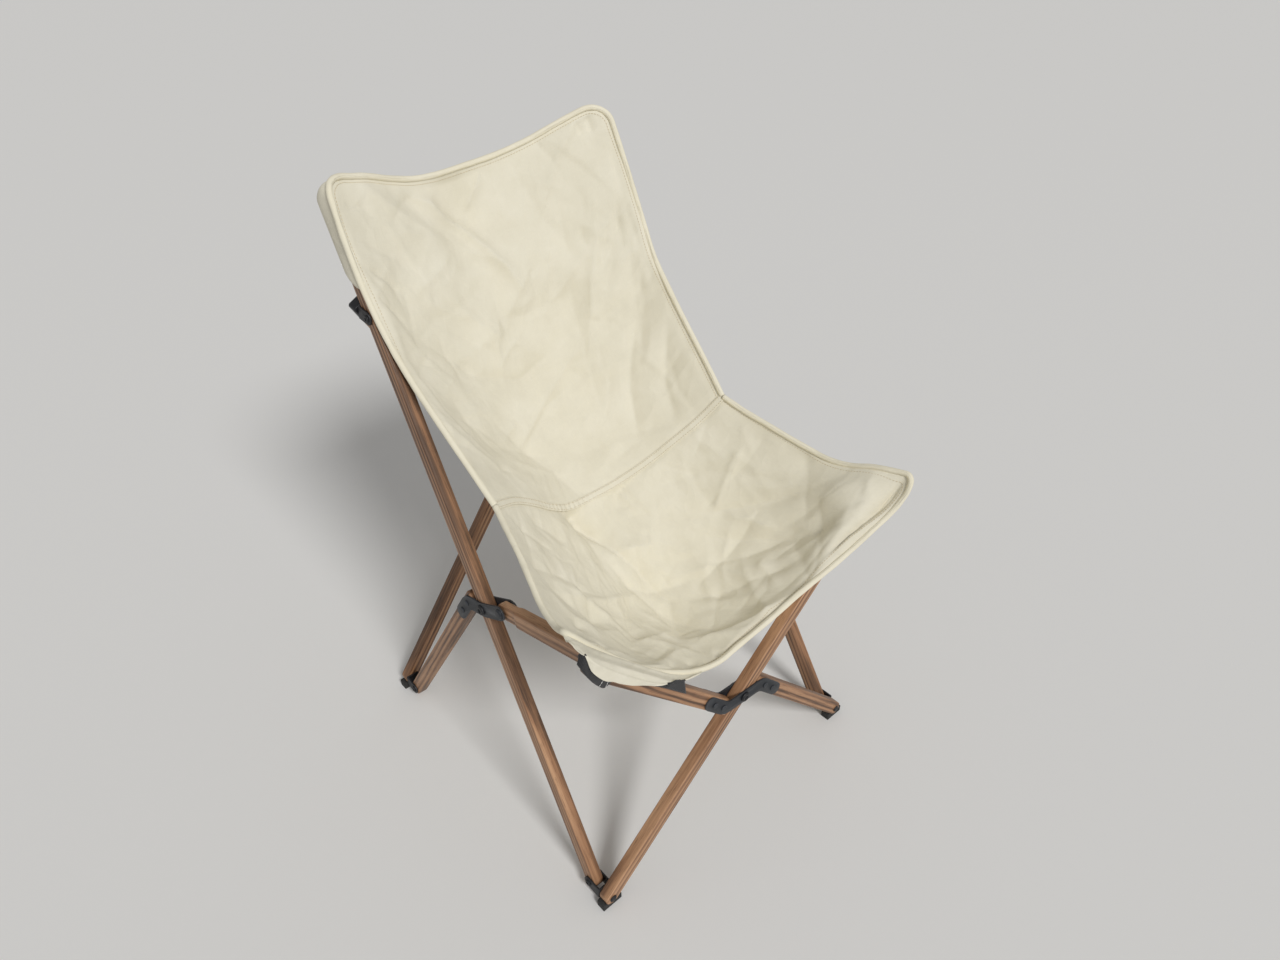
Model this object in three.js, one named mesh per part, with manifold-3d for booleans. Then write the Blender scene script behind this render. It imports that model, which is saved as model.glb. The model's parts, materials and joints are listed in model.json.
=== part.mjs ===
// Butterfly sling chair: twelve wooden sticks joined by steel hinges fold from a
// wide seat into a narrow bundle, and a canvas sling hangs from four stick ends.
// Millimetres, +Z up, the sitter faces -Y, and the sitter's right is -X.

import * as THREE from "three";
import { mergeVertices } from "three/addons/utils/BufferGeometryUtils.js";
import Module from "manifold-3d";

const wasm = await Module();
wasm.setup();

// Sticks.
const STICK_WIDTH = 22;
const STICK_THICKNESS = 16;
const NEST_GAP = 2;
const STUB_CLEARANCE = 3;
const STUB_CORNER = 3;
const OPEN_STUB_RELIEF = 3;
const RAIL_ROOT_LENGTH = 38;
const RAIL_ROOT_THICKNESS = 11;

// Fits.
const CLEARANCE = 0.3;
const RUNNING_FIT = 0.15;
const OPEN_PIVOT_GAP = 0.9;

// Stance of the open chair.
const FOOT_SPREAD = 482.4;
const FRAME_DEPTH = 468.2;
const SIDE_LEAN = 2.21;
const REAR_LEAN = 4.73;
const FRONT_HINGE_HEIGHT = 444.4;
const BACK_HINGE_HEIGHT = 712.7;
const SIDE_PIVOT_REACH = 415.2;
const RAIL_PIVOT_LEAD = 42;
const BACK_TIP = 159.4;

// Swivelling U-brackets and their pins.
const BRACKET_BASE = 3;
const BRACKET_CHEEK = 2.5;
const BRACKET_HEIGHT = 17;
const SWING_ROOM = 9.7;
const PIN_RADIUS = 3;
const PIN_HEAD_RADIUS = 5;
const PIN_HEAD_HEIGHT = 1.8;
const STUD_RADIUS = 3.2;
const STUD_HEAD_RADIUS = 5.5;
const STUD_HEAD_HEIGHT = 2.2;

// Flat plates that carry the nested sticks round a pivot.
const PLATE_THICKNESS = 2.5;
const PLATE_WIDTH = 20;
const PLATE_ELBOW = 26;
const PLATE_ARM = 46;
const ELBOW_RADIUS = 9;
const RIVET_INSET = 10;
const RIVET_PITCH = 25;
const RIVET_RADIUS = 2.5;
const RIVET_HEAD_RADIUS = 4.5;
const RIVET_HEAD_HEIGHT = 1.6;
const PIVOT_RADIUS = 4;
const PIVOT_HEAD_RADIUS = 7.5;
const PIVOT_HEAD_HEIGHT = 3;

// Foot pads.
const PAD_SOLE = 5.7;
const PAD_LENGTH = 32;
const PAD_RISE = 7;
const PAD_CORNER = 3;
const PAD_SETBACK = 1;

// Canvas sling.
const FABRIC = 2;
const POCKET_WALL = 2;
const POCKET_CLEARANCE = 0.4;
const BACK_POCKET_LENGTH = 118;
const FRONT_POCKET_LENGTH = 28;
const POCKET_SHANK = 1.25;
const BINDING_RADIUS = 5;
const WELT_RADIUS = 3;
const BACK_CORNER_RADIUS = 34;
const FRONT_CORNER_RADIUS = 18;
const DRAPE_SLOPE = 1;
const DRAPE_MARGIN = 2;
const DRAPE_SHOULDER = 4;
const TRIM_MARGIN = 1.2;
const SEAM_END_GAP = 1.45;
const FOLD_DEPTH = 3.5;
const FOLD_REACH = 190;
const FOLD_COUNT = 6;

const DEGREE = Math.PI / 180;
const ARC_STEPS = 6;
const ROUND_STEPS = 12;
const RIVET_STEPS = 8;
const CORNER_STEPS = 4;

const vec = (x, y, z) => new THREE.Vector3(x, y, z);
const along = (start, direction, distance) => start.clone().addScaledVector(direction, distance);
const toward = (start, end) => end.clone().sub(start).normalize();
const cross = (a, b) => a.clone().cross(b);

// A hole with flat facets still clears its round pin.
const holeRadius = (radius) => (radius + RUNNING_FIT) / Math.cos(Math.PI / ROUND_STEPS);

const halfWidth = STICK_WIDTH / 2;
const halfThickness = STICK_THICKNESS / 2;
const nestPitch = STICK_WIDTH + NEST_GAP;
const stubEnd = halfWidth + STUB_CLEARANCE;
const hingeReach = halfThickness + CLEARANCE + BRACKET_BASE + SWING_ROOM + halfWidth;
const footHeight = PAD_SOLE + CLEARANCE + halfWidth;
const bracketInside = halfThickness + CLEARANCE;
const bracketOutside = bracketInside + BRACKET_CHEEK;
const bracketSweep = Math.hypot(bracketOutside, BRACKET_HEIGHT / 2);
const frontOverhang = bracketSweep + POCKET_SHANK + FRONT_POCKET_LENGTH;
const plateOffset = halfThickness + CLEARANCE + PLATE_THICKNESS / 2;

// The frame's planes: the front cross stands upright, the rear cross and the sides lean.
const sideSlope = Math.tan(SIDE_LEAN * DEGREE);
const rearSlope = Math.tan(REAR_LEAN * DEGREE);
const frontNormal = vec(0, 1, 0);
const rearNormal = vec(0, 1, rearSlope).normalize();
const sideNormal = vec(1, 0, -sideSlope).normalize();
const mirrored = (point) => vec(-point.x, point.y, point.z);

// Points of the right-hand side frame.
const sidePoint = (y, z) => vec(-FOOT_SPREAD / 2 + sideSlope * (z - footHeight), y, z);
const frontFootPin = sidePoint(hingeReach, footHeight);
const railPin = sidePoint(hingeReach, FRONT_HINGE_HEIGHT);
const rearFootPin = sidePoint(hingeReach + FRAME_DEPTH, footHeight);
const backRise = BACK_HINGE_HEIGHT - footHeight;
const backPin = sidePoint(rearFootPin.y - rearSlope * backRise, BACK_HINGE_HEIGHT);
const polePath = toward(frontFootPin, backPin);
const poleFront = cross(sideNormal, polePath);
const sidePivot = along(frontFootPin, polePath, SIDE_PIVOT_REACH);
const backTip = along(backPin, polePath, BACK_TIP);

// The bolts that hold each bracket to the front or the rear cross.
const frontFootBolt = along(frontFootPin, frontNormal, -hingeReach);
const railBolt = along(railPin, frontNormal, -hingeReach);
const rearFootBolt = along(rearFootPin, rearNormal, hingeReach);
const backBolt = along(backPin, rearNormal, hingeReach);

const crossing = (foot, top) => {
  const share = -foot.x / (-foot.x - top.x);
  return foot.clone().lerp(mirrored(top), share);
};
const frontPivot = crossing(frontFootBolt, railBolt);
const rearPivot = crossing(rearFootBolt, backBolt);

// A stick that lies beside a pivot when the frame is folded: its line passes the
// pivot at the nesting pitch, on the side that normal x direction points to.
const nested = (end, pivot, normal) => {
  const reach = end.distanceTo(pivot);
  const direct = toward(end, pivot);
  const aside = cross(normal, direct);
  const swing = Math.asin(nestPitch / reach);
  const path = direct.clone().multiplyScalar(Math.cos(swing));
  path.addScaledVector(aside, Math.sin(swing));
  const beside = along(end, path, reach * Math.cos(swing));
  return { path, beside, length: reach * Math.cos(swing) - stubEnd };
};
const legNest = nested(rearFootPin, sidePivot, sideNormal.clone().negate());
const besideOffset = sidePivot.clone().sub(legNest.beside);
const railPivot = along(sidePivot.clone().add(besideOffset), legNest.path, RAIL_PIVOT_LEAD);

// Materials.
const wood = () => new THREE.MeshStandardMaterial({ color: 0x7d5a3c, roughness: 0.55, metalness: 0 });
const steel = () => new THREE.MeshStandardMaterial({ color: 0x2b2e33, roughness: 0.5, metalness: 0.7 });
const rubber = () => new THREE.MeshStandardMaterial({ color: 0x1b1b1c, roughness: 0.8, metalness: 0 });
const canvas = () => new THREE.MeshStandardMaterial({ color: 0xe1dcc8, roughness: 0.95, metalness: 0 });

// Solids for cutting and joining.
const toSolid = (geometry) => {
  const bare = geometry.clone();
  bare.deleteAttribute("normal");
  bare.deleteAttribute("uv");
  const merged = mergeVertices(bare, 1e-4);
  const index = merged.index.array;
  const kept = [];
  for (let i = 0; i < index.length; i += 3) {
    const [a, b, c] = [index[i], index[i + 1], index[i + 2]];
    if (a !== b && b !== c && c !== a) kept.push(a, b, c);
  }
  const vertProperties = new Float32Array(merged.attributes.position.array);
  return new wasm.Manifold(new wasm.Mesh({ numProp: 3, vertProperties, triVerts: new Uint32Array(kept) }));
};
const toGeometry = (solid) => {
  const mesh = solid.getMesh();
  const geometry = new THREE.BufferGeometry();
  const count = mesh.vertProperties.length / mesh.numProp;
  const position = new Float32Array(count * 3);
  for (let i = 0; i < count; i += 1) {
    for (let k = 0; k < 3; k += 1) position[i * 3 + k] = mesh.vertProperties[i * mesh.numProp + k];
  }
  geometry.setAttribute("position", new THREE.BufferAttribute(position, 3));
  geometry.setIndex(new THREE.BufferAttribute(new Uint32Array(mesh.triVerts), 1));
  return geometry;
};
const fuse = (geometries) => toGeometry(geometries.map(toSolid).reduce((sum, next) => sum.add(next)));
const cut = (geometry, tool) => toGeometry(toSolid(geometry).subtract(toSolid(tool)));
const common = (first, second) => toGeometry(toSolid(first).intersect(toSolid(second)));

const basis = (x, y, z, origin) => new THREE.Matrix4().makeBasis(x, y, z).setPosition(origin);
const placed = (geometry, matrix) => geometry.clone().applyMatrix4(matrix);

const chair = new THREE.Group();
const rightSide = new THREE.Group();
const leftSide = new THREE.Group();
leftSide.scale.x = -1;
const frontCross = new THREE.Group();
const rearCross = new THREE.Group();
const sling = new THREE.Group();
chair.add(frontCross, rearCross, rightSide, leftSide, sling);

const addPiece = (group, name, geometry, material, matrix = new THREE.Matrix4()) => {
  const mesh = new THREE.Mesh(geometry, material);
  mesh.name = name;
  mesh.applyMatrix4(matrix);
  group.add(mesh);
  return mesh;
};

const circleHole = (x, y, radius) => new THREE.Path().absarc(x, y, radius, 0, 2 * Math.PI, true);
const extruded = (shape, depth) => new THREE.ExtrudeGeometry(shape, {
  depth,
  bevelEnabled: false,
  curveSegments: ARC_STEPS,
});

// Stick outline along +X, with a rounded corner radius for each end.
const corner = (shape, x, y, radius, start) => {
  for (let i = 0; i <= CORNER_STEPS; i += 1) {
    const angle = start + (Math.PI / 2) * (i / CORNER_STEPS);
    shape.lineTo(x + radius * Math.cos(angle), y + radius * Math.sin(angle));
  }
};
const stickShape = (from, to, half, fromCorner, toCorner) => {
  const shape = new THREE.Shape();
  shape.moveTo(from + fromCorner, -half);
  corner(shape, to - toCorner, -half + toCorner, toCorner, -Math.PI / 2);
  corner(shape, to - toCorner, half - toCorner, toCorner, 0);
  corner(shape, from + fromCorner, half - fromCorner, fromCorner, Math.PI / 2);
  corner(shape, from + fromCorner, -half + fromCorner, fromCorner, Math.PI);
  return shape;
};
const stickMatrix = (start, path, normal) => basis(
  path,
  cross(normal, path),
  normal,
  along(start, normal, -halfThickness),
);

// A stick whose root is thinned on both faces to run freely between two plates.
const thinned = (geometry, length, thickness) => {
  const slab = new THREE.BoxGeometry(2 * length, 2 * STICK_WIDTH, STICK_THICKNESS - thickness);
  const farFace = new THREE.Matrix4().makeTranslation(0, 0, STICK_THICKNESS);
  return cut(cut(geometry, slab), placed(slab, farFace));
};

// A stick from its first hole, with its ends and its holes at distances along it.
const addStick = (group, name, { start, path, normal, from, to, toCorner = halfWidth, holes, root }) => {
  const shape = stickShape(from, to, halfWidth, halfWidth, toCorner);
  holes.forEach(([distance, radius]) => shape.holes.push(circleHole(distance, 0, holeRadius(radius))));
  const whole = extruded(shape, STICK_THICKNESS);
  const stick = root ? thinned(whole, root.length, root.thickness) : whole;
  return addPiece(group, name, stick, wood(), stickMatrix(start, path, normal));
};

// A turned pin along +Y, centred, with a domed head at each end of its grip.
const turnedPin = (radius, grip, headRadius, headHeight, steps = ROUND_STEPS) => {
  const end = grip / 2;
  const crown = 0.72 * headRadius;
  const shoulder = 0.45 * headHeight;
  const profile = [
    new THREE.Vector2(0, -end - headHeight),
    new THREE.Vector2(crown, -end - headHeight),
    new THREE.Vector2(headRadius, -end - shoulder),
    new THREE.Vector2(headRadius, -end),
    new THREE.Vector2(radius, -end),
    new THREE.Vector2(radius, end),
    new THREE.Vector2(headRadius, end),
    new THREE.Vector2(headRadius, end + shoulder),
    new THREE.Vector2(crown, end + headHeight),
    new THREE.Vector2(0, end + headHeight),
  ];
  return new THREE.LatheGeometry(profile, steps);
};
const sidewise = (axis) => (Math.abs(axis.z) < 0.9 ? vec(0, 0, 1) : vec(1, 0, 0));
const pinMatrix = (centre, axis) => {
  const x = cross(sidewise(axis), axis).normalize();
  return basis(x, axis, cross(x, axis), centre);
};

// A headed stud along +Y from its head's seat at 0, with the head below.
const headedStud = (radius, length, headRadius, headHeight) => {
  const profile = [
    new THREE.Vector2(0, -headHeight),
    new THREE.Vector2(0.72 * headRadius, -headHeight),
    new THREE.Vector2(headRadius, -0.45 * headHeight),
    new THREE.Vector2(headRadius, 0),
    new THREE.Vector2(radius, 0),
    new THREE.Vector2(radius, length),
    new THREE.Vector2(0, length),
  ];
  return new THREE.LatheGeometry(profile, ROUND_STEPS);
};

// U-bracket: a bent strip whose base faces the cross and whose cheeks hold the pin.
// Its own frame has X along the pin, Y up the base and Z from the cross to the pin.
const bracketGeometry = (gap, withStud) => {
  const seat = halfThickness + gap;
  const floor = seat + BRACKET_BASE;
  const bend = 1.5;
  const reach = hingeReach + BRACKET_HEIGHT / 2;
  const strip = new THREE.Shape();
  strip.moveTo(-bracketOutside + bend, seat);
  strip.lineTo(bracketOutside - bend, seat);
  strip.lineTo(bracketOutside, seat + bend);
  strip.lineTo(bracketOutside, reach);
  strip.lineTo(bracketInside, reach);
  strip.lineTo(bracketInside, floor);
  strip.lineTo(-bracketInside, floor);
  strip.lineTo(-bracketInside, reach);
  strip.lineTo(-bracketOutside, reach);
  strip.lineTo(-bracketOutside, seat + bend);
  const bent = placed(
    extruded(strip, BRACKET_HEIGHT),
    basis(vec(1, 0, 0), vec(0, 0, 1), vec(0, -1, 0), vec(0, BRACKET_HEIGHT / 2, 0)),
  );
  const cheek = new THREE.Shape();
  cheek.moveTo(-BRACKET_HEIGHT / 2, seat - 1);
  cheek.lineTo(BRACKET_HEIGHT / 2, seat - 1);
  corner(cheek, 0, hingeReach, BRACKET_HEIGHT / 2, 0);
  corner(cheek, 0, hingeReach, BRACKET_HEIGHT / 2, Math.PI / 2);
  cheek.holes.push(circleHole(0, hingeReach, holeRadius(PIN_RADIUS)));
  const outline = placed(
    extruded(cheek, 2 * bracketOutside + 2),
    basis(vec(0, 1, 0), vec(0, 0, 1), vec(1, 0, 0), vec(-bracketOutside - 1, 0, 0)),
  );
  const bracket = common(bent, outline);
  if (!withStud) return bracket;
  const studLength = 2 * halfThickness + CLEARANCE + gap + BRACKET_BASE / 2;
  const stud = placed(
    headedStud(STUD_RADIUS, studLength, STUD_HEAD_RADIUS, STUD_HEAD_HEIGHT),
    basis(vec(1, 0, 0), vec(0, 0, 1), vec(0, -1, 0), vec(0, 0, -halfThickness - CLEARANCE)),
  );
  return fuse([bracket, stud]);
};
const fixedBracket = bracketGeometry(CLEARANCE, true);
const openBracket = bracketGeometry(OPEN_PIVOT_GAP, false);
const bracketGrip = 2 * (bracketOutside + CLEARANCE);
const addBracket = (group, name, pin, outward, geometry) => {
  const z = outward.clone().addScaledVector(sideNormal, -outward.dot(sideNormal)).normalize();
  const bolt = along(pin, z, -hingeReach);
  addPiece(group, `${name}_bracket`, geometry, steel(), basis(sideNormal, cross(z, sideNormal), z, bolt));
  const pinGeometry = turnedPin(PIN_RADIUS, bracketGrip, PIN_HEAD_RADIUS, PIN_HEAD_HEIGHT);
  addPiece(group, `${name}_pin`, pinGeometry, steel(), pinMatrix(pin, sideNormal));
};

// A bent strip of constant width along a path of flat points, with round ends.
const roundedPath = (points) => points.flatMap((point, i) => {
  if (i === 0 || i === points.length - 1) return [point];
  const before = points[i - 1].clone().sub(point);
  const after = points[i + 1].clone().sub(point);
  const trim = Math.min(ELBOW_RADIUS, before.length() / 2.2, after.length() / 2.2);
  const first = point.clone().addScaledVector(before.normalize(), trim);
  const last = point.clone().addScaledVector(after.normalize(), trim);
  const middle = point.clone().multiplyScalar(2).add(first).add(last).divideScalar(4);
  return [first, middle, last];
});
const stripShape = (points, half) => {
  const path = roundedPath(points);
  const left = [];
  const right = [];
  path.forEach((point, i) => {
    const before = i > 0 ? point.clone().sub(path[i - 1]).normalize() : null;
    const after = i < path.length - 1 ? path[i + 1].clone().sub(point).normalize() : null;
    const heading = before && after ? before.clone().add(after).normalize() : before || after;
    const width = before && after ? half / heading.dot(after) : half;
    const normal = new THREE.Vector2(-heading.y, heading.x);
    left.push(point.clone().addScaledVector(normal, width));
    right.push(point.clone().addScaledVector(normal, -width));
  });
  const cap = (centre, from) => {
    const start = Math.atan2(from.y - centre.y, from.x - centre.x);
    return Array.from({ length: ROUND_STEPS / 2 - 1 }, (_, i) => {
      const angle = start + (Math.PI * (i + 1)) / (ROUND_STEPS / 2);
      return new THREE.Vector2(centre.x + half * Math.cos(angle), centre.y + half * Math.sin(angle));
    });
  };
  const last = path.length - 1;
  const outline = [...right, ...cap(path[last], right[last]), ...left.reverse(), ...cap(path[0], left[last])];
  return new THREE.Shape(outline);
};

// The two plates of a pivot: the outer one carries the rivets, the inner one is drilled.
const addPlates = (group, name, { origin, xAxis, normal, points, rivets, pivots, caps, outerSign }) => {
  const yAxis = cross(normal, xAxis);
  const flat = (point) => {
    const offset = point.clone().sub(origin);
    return new THREE.Vector2(offset.dot(xAxis), offset.dot(yAxis));
  };
  const plate = (side, holes) => {
    const shape = stripShape(points.map(flat), PLATE_WIDTH / 2);
    holes.forEach(([point, radius]) => {
      const spot = flat(point);
      shape.holes.push(circleHole(spot.x, spot.y, holeRadius(radius)));
    });
    const low = side * plateOffset - PLATE_THICKNESS / 2;
    return placed(extruded(shape, PLATE_THICKNESS), basis(xAxis, yAxis, normal, along(origin, normal, low)));
  };
  const grip = 2 * (halfThickness + 2 * CLEARANCE + PLATE_THICKNESS);
  const rivet = turnedPin(RIVET_RADIUS, grip, RIVET_HEAD_RADIUS, RIVET_HEAD_HEIGHT, RIVET_STEPS);
  const pivotCap = (side, point) => {
    const cap = headedStud(PIVOT_RADIUS, PLATE_THICKNESS / 2, PIVOT_HEAD_RADIUS, PIVOT_HEAD_HEIGHT);
    const base = along(point, normal, side * (plateOffset + PLATE_THICKNESS / 2 - CLEARANCE));
    return placed(cap, pinMatrix(base, normal.clone().multiplyScalar(-side)));
  };
  const outer = fuse([
    plate(outerSign, pivots),
    ...rivets.map((point) => placed(rivet, pinMatrix(point, normal))),
    ...caps.map((point) => pivotCap(outerSign, point)),
  ]);
  const drilled = plate(-outerSign, [...pivots, ...rivets.map((point) => [point, RIVET_RADIUS])]);
  const inner = caps.length ? fuse([drilled, ...caps.map((point) => pivotCap(-outerSign, point))]) : drilled;
  addPiece(group, `${name}_plate_outer`, outer, steel());
  addPiece(group, `${name}_plate_inner`, inner, steel());
};
const pivotGrip = 2 * (halfThickness + 2 * CLEARANCE + PLATE_THICKNESS);
const addPivotBolt = (group, name, centre, axis) => {
  const bolt = turnedPin(PIVOT_RADIUS, pivotGrip, PIVOT_HEAD_RADIUS, PIVOT_HEAD_HEIGHT);
  addPiece(group, name, bolt, steel(), pinMatrix(centre, axis));
};

// Foot pad: a block with a flat sole, hollowed to take the round end of its stick.
const addPad = (group, name, bolt, path, normal) => {
  const half = PAD_LENGTH / 2;
  const top = PAD_SOLE + PAD_RISE;
  const profile = new THREE.Shape();
  profile.moveTo(-half, 0);
  profile.lineTo(half, 0);
  corner(profile, half - PAD_CORNER, top - PAD_CORNER, PAD_CORNER, 0);
  corner(profile, -half + PAD_CORNER, top - PAD_CORNER, PAD_CORNER, Math.PI / 2);
  const depth = STICK_THICKNESS - 2 * PAD_SETBACK;
  const block = placed(
    extruded(profile, depth),
    basis(vec(1, 0, 0), vec(0, 0, 1), vec(0, -1, 0), vec(bolt.x, bolt.y + depth / 2, 0)),
  );
  const swell = halfWidth + CLEARANCE;
  const socket = stickShape(-swell, 4 * STICK_WIDTH, swell, swell, swell);
  const tool = placed(
    extruded(socket, STICK_THICKNESS * 3),
    basis(path, cross(normal, path), normal, along(bolt, normal, -1.5 * STICK_THICKNESS)),
  );
  addPiece(group, name, cut(block, tool), rubber());
};

// A cross of one straight pole and one split member that nests against it.
const addCross = (group, name, { foot, top, pivot, normal, topOverhang, topRadius, openPivot, outerSign }) => {
  const farTop = mirrored(top);
  const farFoot = mirrored(foot);
  const path = toward(foot, farTop);
  const span = foot.distanceTo(farTop);
  addStick(group, `${name}_pole`, {
    start: foot,
    path,
    normal,
    from: -halfWidth,
    to: span + topOverhang,
    holes: [[0, STUD_RADIUS], [foot.distanceTo(pivot), PIVOT_RADIUS], [span, topRadius]],
  });
  const lower = nested(farFoot, pivot, normal);
  const upper = nested(top, pivot, normal);
  const spots = [PLATE_ELBOW + RIVET_INSET, PLATE_ELBOW + RIVET_INSET + RIVET_PITCH];
  const barHoles = (bar) => spots.map((spot) => [bar.length + stubEnd - spot, RIVET_RADIUS]);
  const bar = (part, start, nest, overhang, radius) => addStick(group, `${name}_${part}_bar`, {
    start,
    path: nest.path,
    normal,
    from: -overhang,
    to: nest.length - (openPivot ? OPEN_STUB_RELIEF : 0),
    toCorner: STUB_CORNER,
    holes: [[0, radius], ...barHoles(nest)],
  });
  bar("lower", farFoot, lower, halfWidth, STUD_RADIUS);
  bar("upper", top, upper, topOverhang, topRadius);
  const spot = (nest, distance) => along(nest.beside, nest.path, -distance);
  const reach = PLATE_ELBOW + PLATE_ARM;
  addPlates(group, `${name}_z`, {
    origin: pivot,
    xAxis: vec(1, 0, 0),
    normal,
    points: [spot(upper, reach), spot(upper, PLATE_ELBOW), spot(lower, PLATE_ELBOW), spot(lower, reach)],
    rivets: [...spots.map((d) => spot(upper, d)), ...spots.map((d) => spot(lower, d))],
    pivots: openPivot ? [] : [[pivot, PIVOT_RADIUS]],
    caps: openPivot ? [pivot] : [],
    outerSign,
  });
  if (!openPivot) addPivotBolt(group, `${name}_pivot_bolt`, pivot, normal);
  addPad(group, `${name}_right_foot_pad`, foot, path, normal);
  addPad(group, `${name}_left_foot_pad`, farFoot, lower.path, normal);
};
addCross(frontCross, "front", {
  foot: frontFootBolt,
  top: railBolt,
  pivot: frontPivot,
  normal: frontNormal,
  topOverhang: frontOverhang,
  topRadius: STUD_RADIUS,
  openPivot: false,
  outerSign: -1,
});
addCross(rearCross, "rear", {
  foot: rearFootBolt,
  top: backBolt,
  pivot: rearPivot,
  normal: rearNormal,
  topOverhang: halfWidth,
  topRadius: STUD_RADIUS,
  openPivot: true,
  outerSign: 1,
});

// Bolts that stand in the tops of the rear cross, behind the back brackets.
const backBoltLength = STICK_THICKNESS + CLEARANCE;
["right", "left"].forEach((side) => {
  const stud = headedStud(STUD_RADIUS, backBoltLength, STUD_HEAD_RADIUS, STUD_HEAD_HEIGHT);
  const centre = side === "right" ? backBolt : mirrored(backBolt);
  const seat = along(centre, rearNormal, halfThickness + CLEARANCE);
  addPiece(rearCross, `back_${side}_bolt`, stud, steel(), pinMatrix(seat, rearNormal.clone().negate()));
});

// One side frame: back pole, side leg, seat rail, their plates and four brackets.
const addSide = (group, side) => {
  addStick(group, `${side}_back_pole`, {
    start: frontFootPin,
    path: polePath,
    normal: sideNormal,
    from: -halfWidth,
    to: frontFootPin.distanceTo(backTip),
    holes: [
      [0, PIN_RADIUS],
      [SIDE_PIVOT_REACH, PIVOT_RADIUS],
      [frontFootPin.distanceTo(backPin), PIN_RADIUS],
    ],
  });
  const spots = [PLATE_ELBOW + RIVET_INSET / 2, PLATE_ELBOW + RIVET_INSET / 2 + RIVET_PITCH];
  addStick(group, `${side}_side_leg`, {
    start: rearFootPin,
    path: legNest.path,
    normal: sideNormal,
    from: -halfWidth,
    to: legNest.length,
    toCorner: STUB_CORNER,
    holes: [[0, PIN_RADIUS], ...spots.map((spot) => [legNest.length + stubEnd - spot, RIVET_RADIUS])],
  });
  const railPath = toward(railPivot, railPin);
  const railLength = railPivot.distanceTo(railPin);
  addStick(group, `${side}_seat_rail`, {
    start: railPivot,
    path: railPath,
    normal: sideNormal,
    from: -halfWidth,
    to: railLength + halfWidth,
    holes: [[0, PIVOT_RADIUS], [railLength, PIN_RADIUS]],
    root: { length: RAIL_ROOT_LENGTH, thickness: RAIL_ROOT_THICKNESS },
  });
  const spot = (distance) => along(legNest.beside, legNest.path, -distance);
  addPlates(group, `${side}_side`, {
    origin: sidePivot,
    xAxis: polePath,
    normal: sideNormal,
    points: [spot(spots[1] + RIVET_INSET), spot(PLATE_ELBOW), sidePivot, railPivot],
    rivets: spots.map(spot),
    pivots: [[sidePivot, PIVOT_RADIUS]],
    caps: [railPivot],
    outerSign: -1,
  });
  addPivotBolt(group, `${side}_side_pivot_bolt`, sidePivot, sideNormal);
  const forward = frontNormal;
  const rearward = rearNormal.clone().negate();
  addBracket(group, `${side}_front_foot`, frontFootPin, forward, fixedBracket);
  addBracket(group, `${side}_rail`, railPin, forward, fixedBracket);
  addBracket(group, `${side}_rear_foot`, rearFootPin, rearward, fixedBracket);
  addBracket(group, `${side}_back`, backPin, rearward, openBracket);
};
addSide(rightSide, "right");
addSide(leftSide, "left");

// Sling. The cloth stands this far from the axis of a stick that it hangs over.
const clothStandoff = halfWidth + POCKET_CLEARANCE + POCKET_WALL + DRAPE_MARGIN + FABRIC / 2;
const leftTip = mirrored(backTip);
const leftPole = mirrored(polePath);
const leftFront = mirrored(poleFront);
const leftSideNormal = mirrored(sideNormal);
const frontPath = toward(frontFootBolt, mirrored(railBolt));
const frontUp = vec(-frontPath.z, 0, frontPath.x);
const frontTip = along(mirrored(railBolt), frontPath, frontOverhang);
const frontRightPath = nested(railBolt, frontPivot, frontNormal).path.negate();
const frontRightUp = vec(frontRightPath.z, 0, -frontRightPath.x);
const frontRightTip = along(railBolt, frontRightPath, frontOverhang);

// Left edge of the back, down from the pole's tip: drop along the pole, distance in
// front of the cloth's standoff, and outset from the side frame.
const BACK_EDGE = [[-10, 4, 16], [60, 2, 16], [125, 0, 14], [207, 5, 2], [302, 28, -8], [425, 64, -23]];
const backEdge = BACK_EDGE.map(([drop, lead, outset]) => {
  const point = along(leftTip, leftPole, -drop);
  point.addScaledVector(leftFront, clothStandoff + lead);
  return point.addScaledVector(leftSideNormal, -outset);
});
const seamEnd = backEdge[backEdge.length - 1];

// Left edge of the seat, from the seam to the front corner, measured from the tip of the front pole.
const SEAT_EDGE = [[-39, 171, 27], [-20, 108, 12], [-9, 58, 11], [-1, 5, 19], [9, -45, 21]];
const seatEdge = [seamEnd, ...SEAT_EDGE.map(([x, y, z]) => frontTip.clone().add(vec(x, y, z)))];

// Middle of the sling, measured from the middle of the line between the back tips or front tips.
const middleOf = (point) => vec(0, point.y, point.z);
const BACK_MIDDLE = [[34, -14], [-22, -140], [-58, -250], [-130, -366], [-224, -442]];
const backMiddle = BACK_MIDDLE.map(([y, z]) => middleOf(leftTip).add(vec(0, y, z)));
const SEAT_MIDDLE = [[226, -128], [142, -183], [70, -178], [11, -155]];
const seatMiddle = [backMiddle[backMiddle.length - 1]];
SEAT_MIDDLE.forEach(([y, z]) => seatMiddle.push(middleOf(frontTip).add(vec(0, y, z))));

const curve = (points) => new THREE.CatmullRomCurve3(points, false, "centripetal");
const panels = {
  back: { edge: curve(backEdge), middle: curve(backMiddle), rise: [2, 2], lean: [2, 2], up: poleFront },
  seat: { edge: curve(seatEdge), middle: curve(seatMiddle), rise: [2, 1.4], lean: [2, 1.1], up: vec(0, 0, 1) },
};

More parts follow.
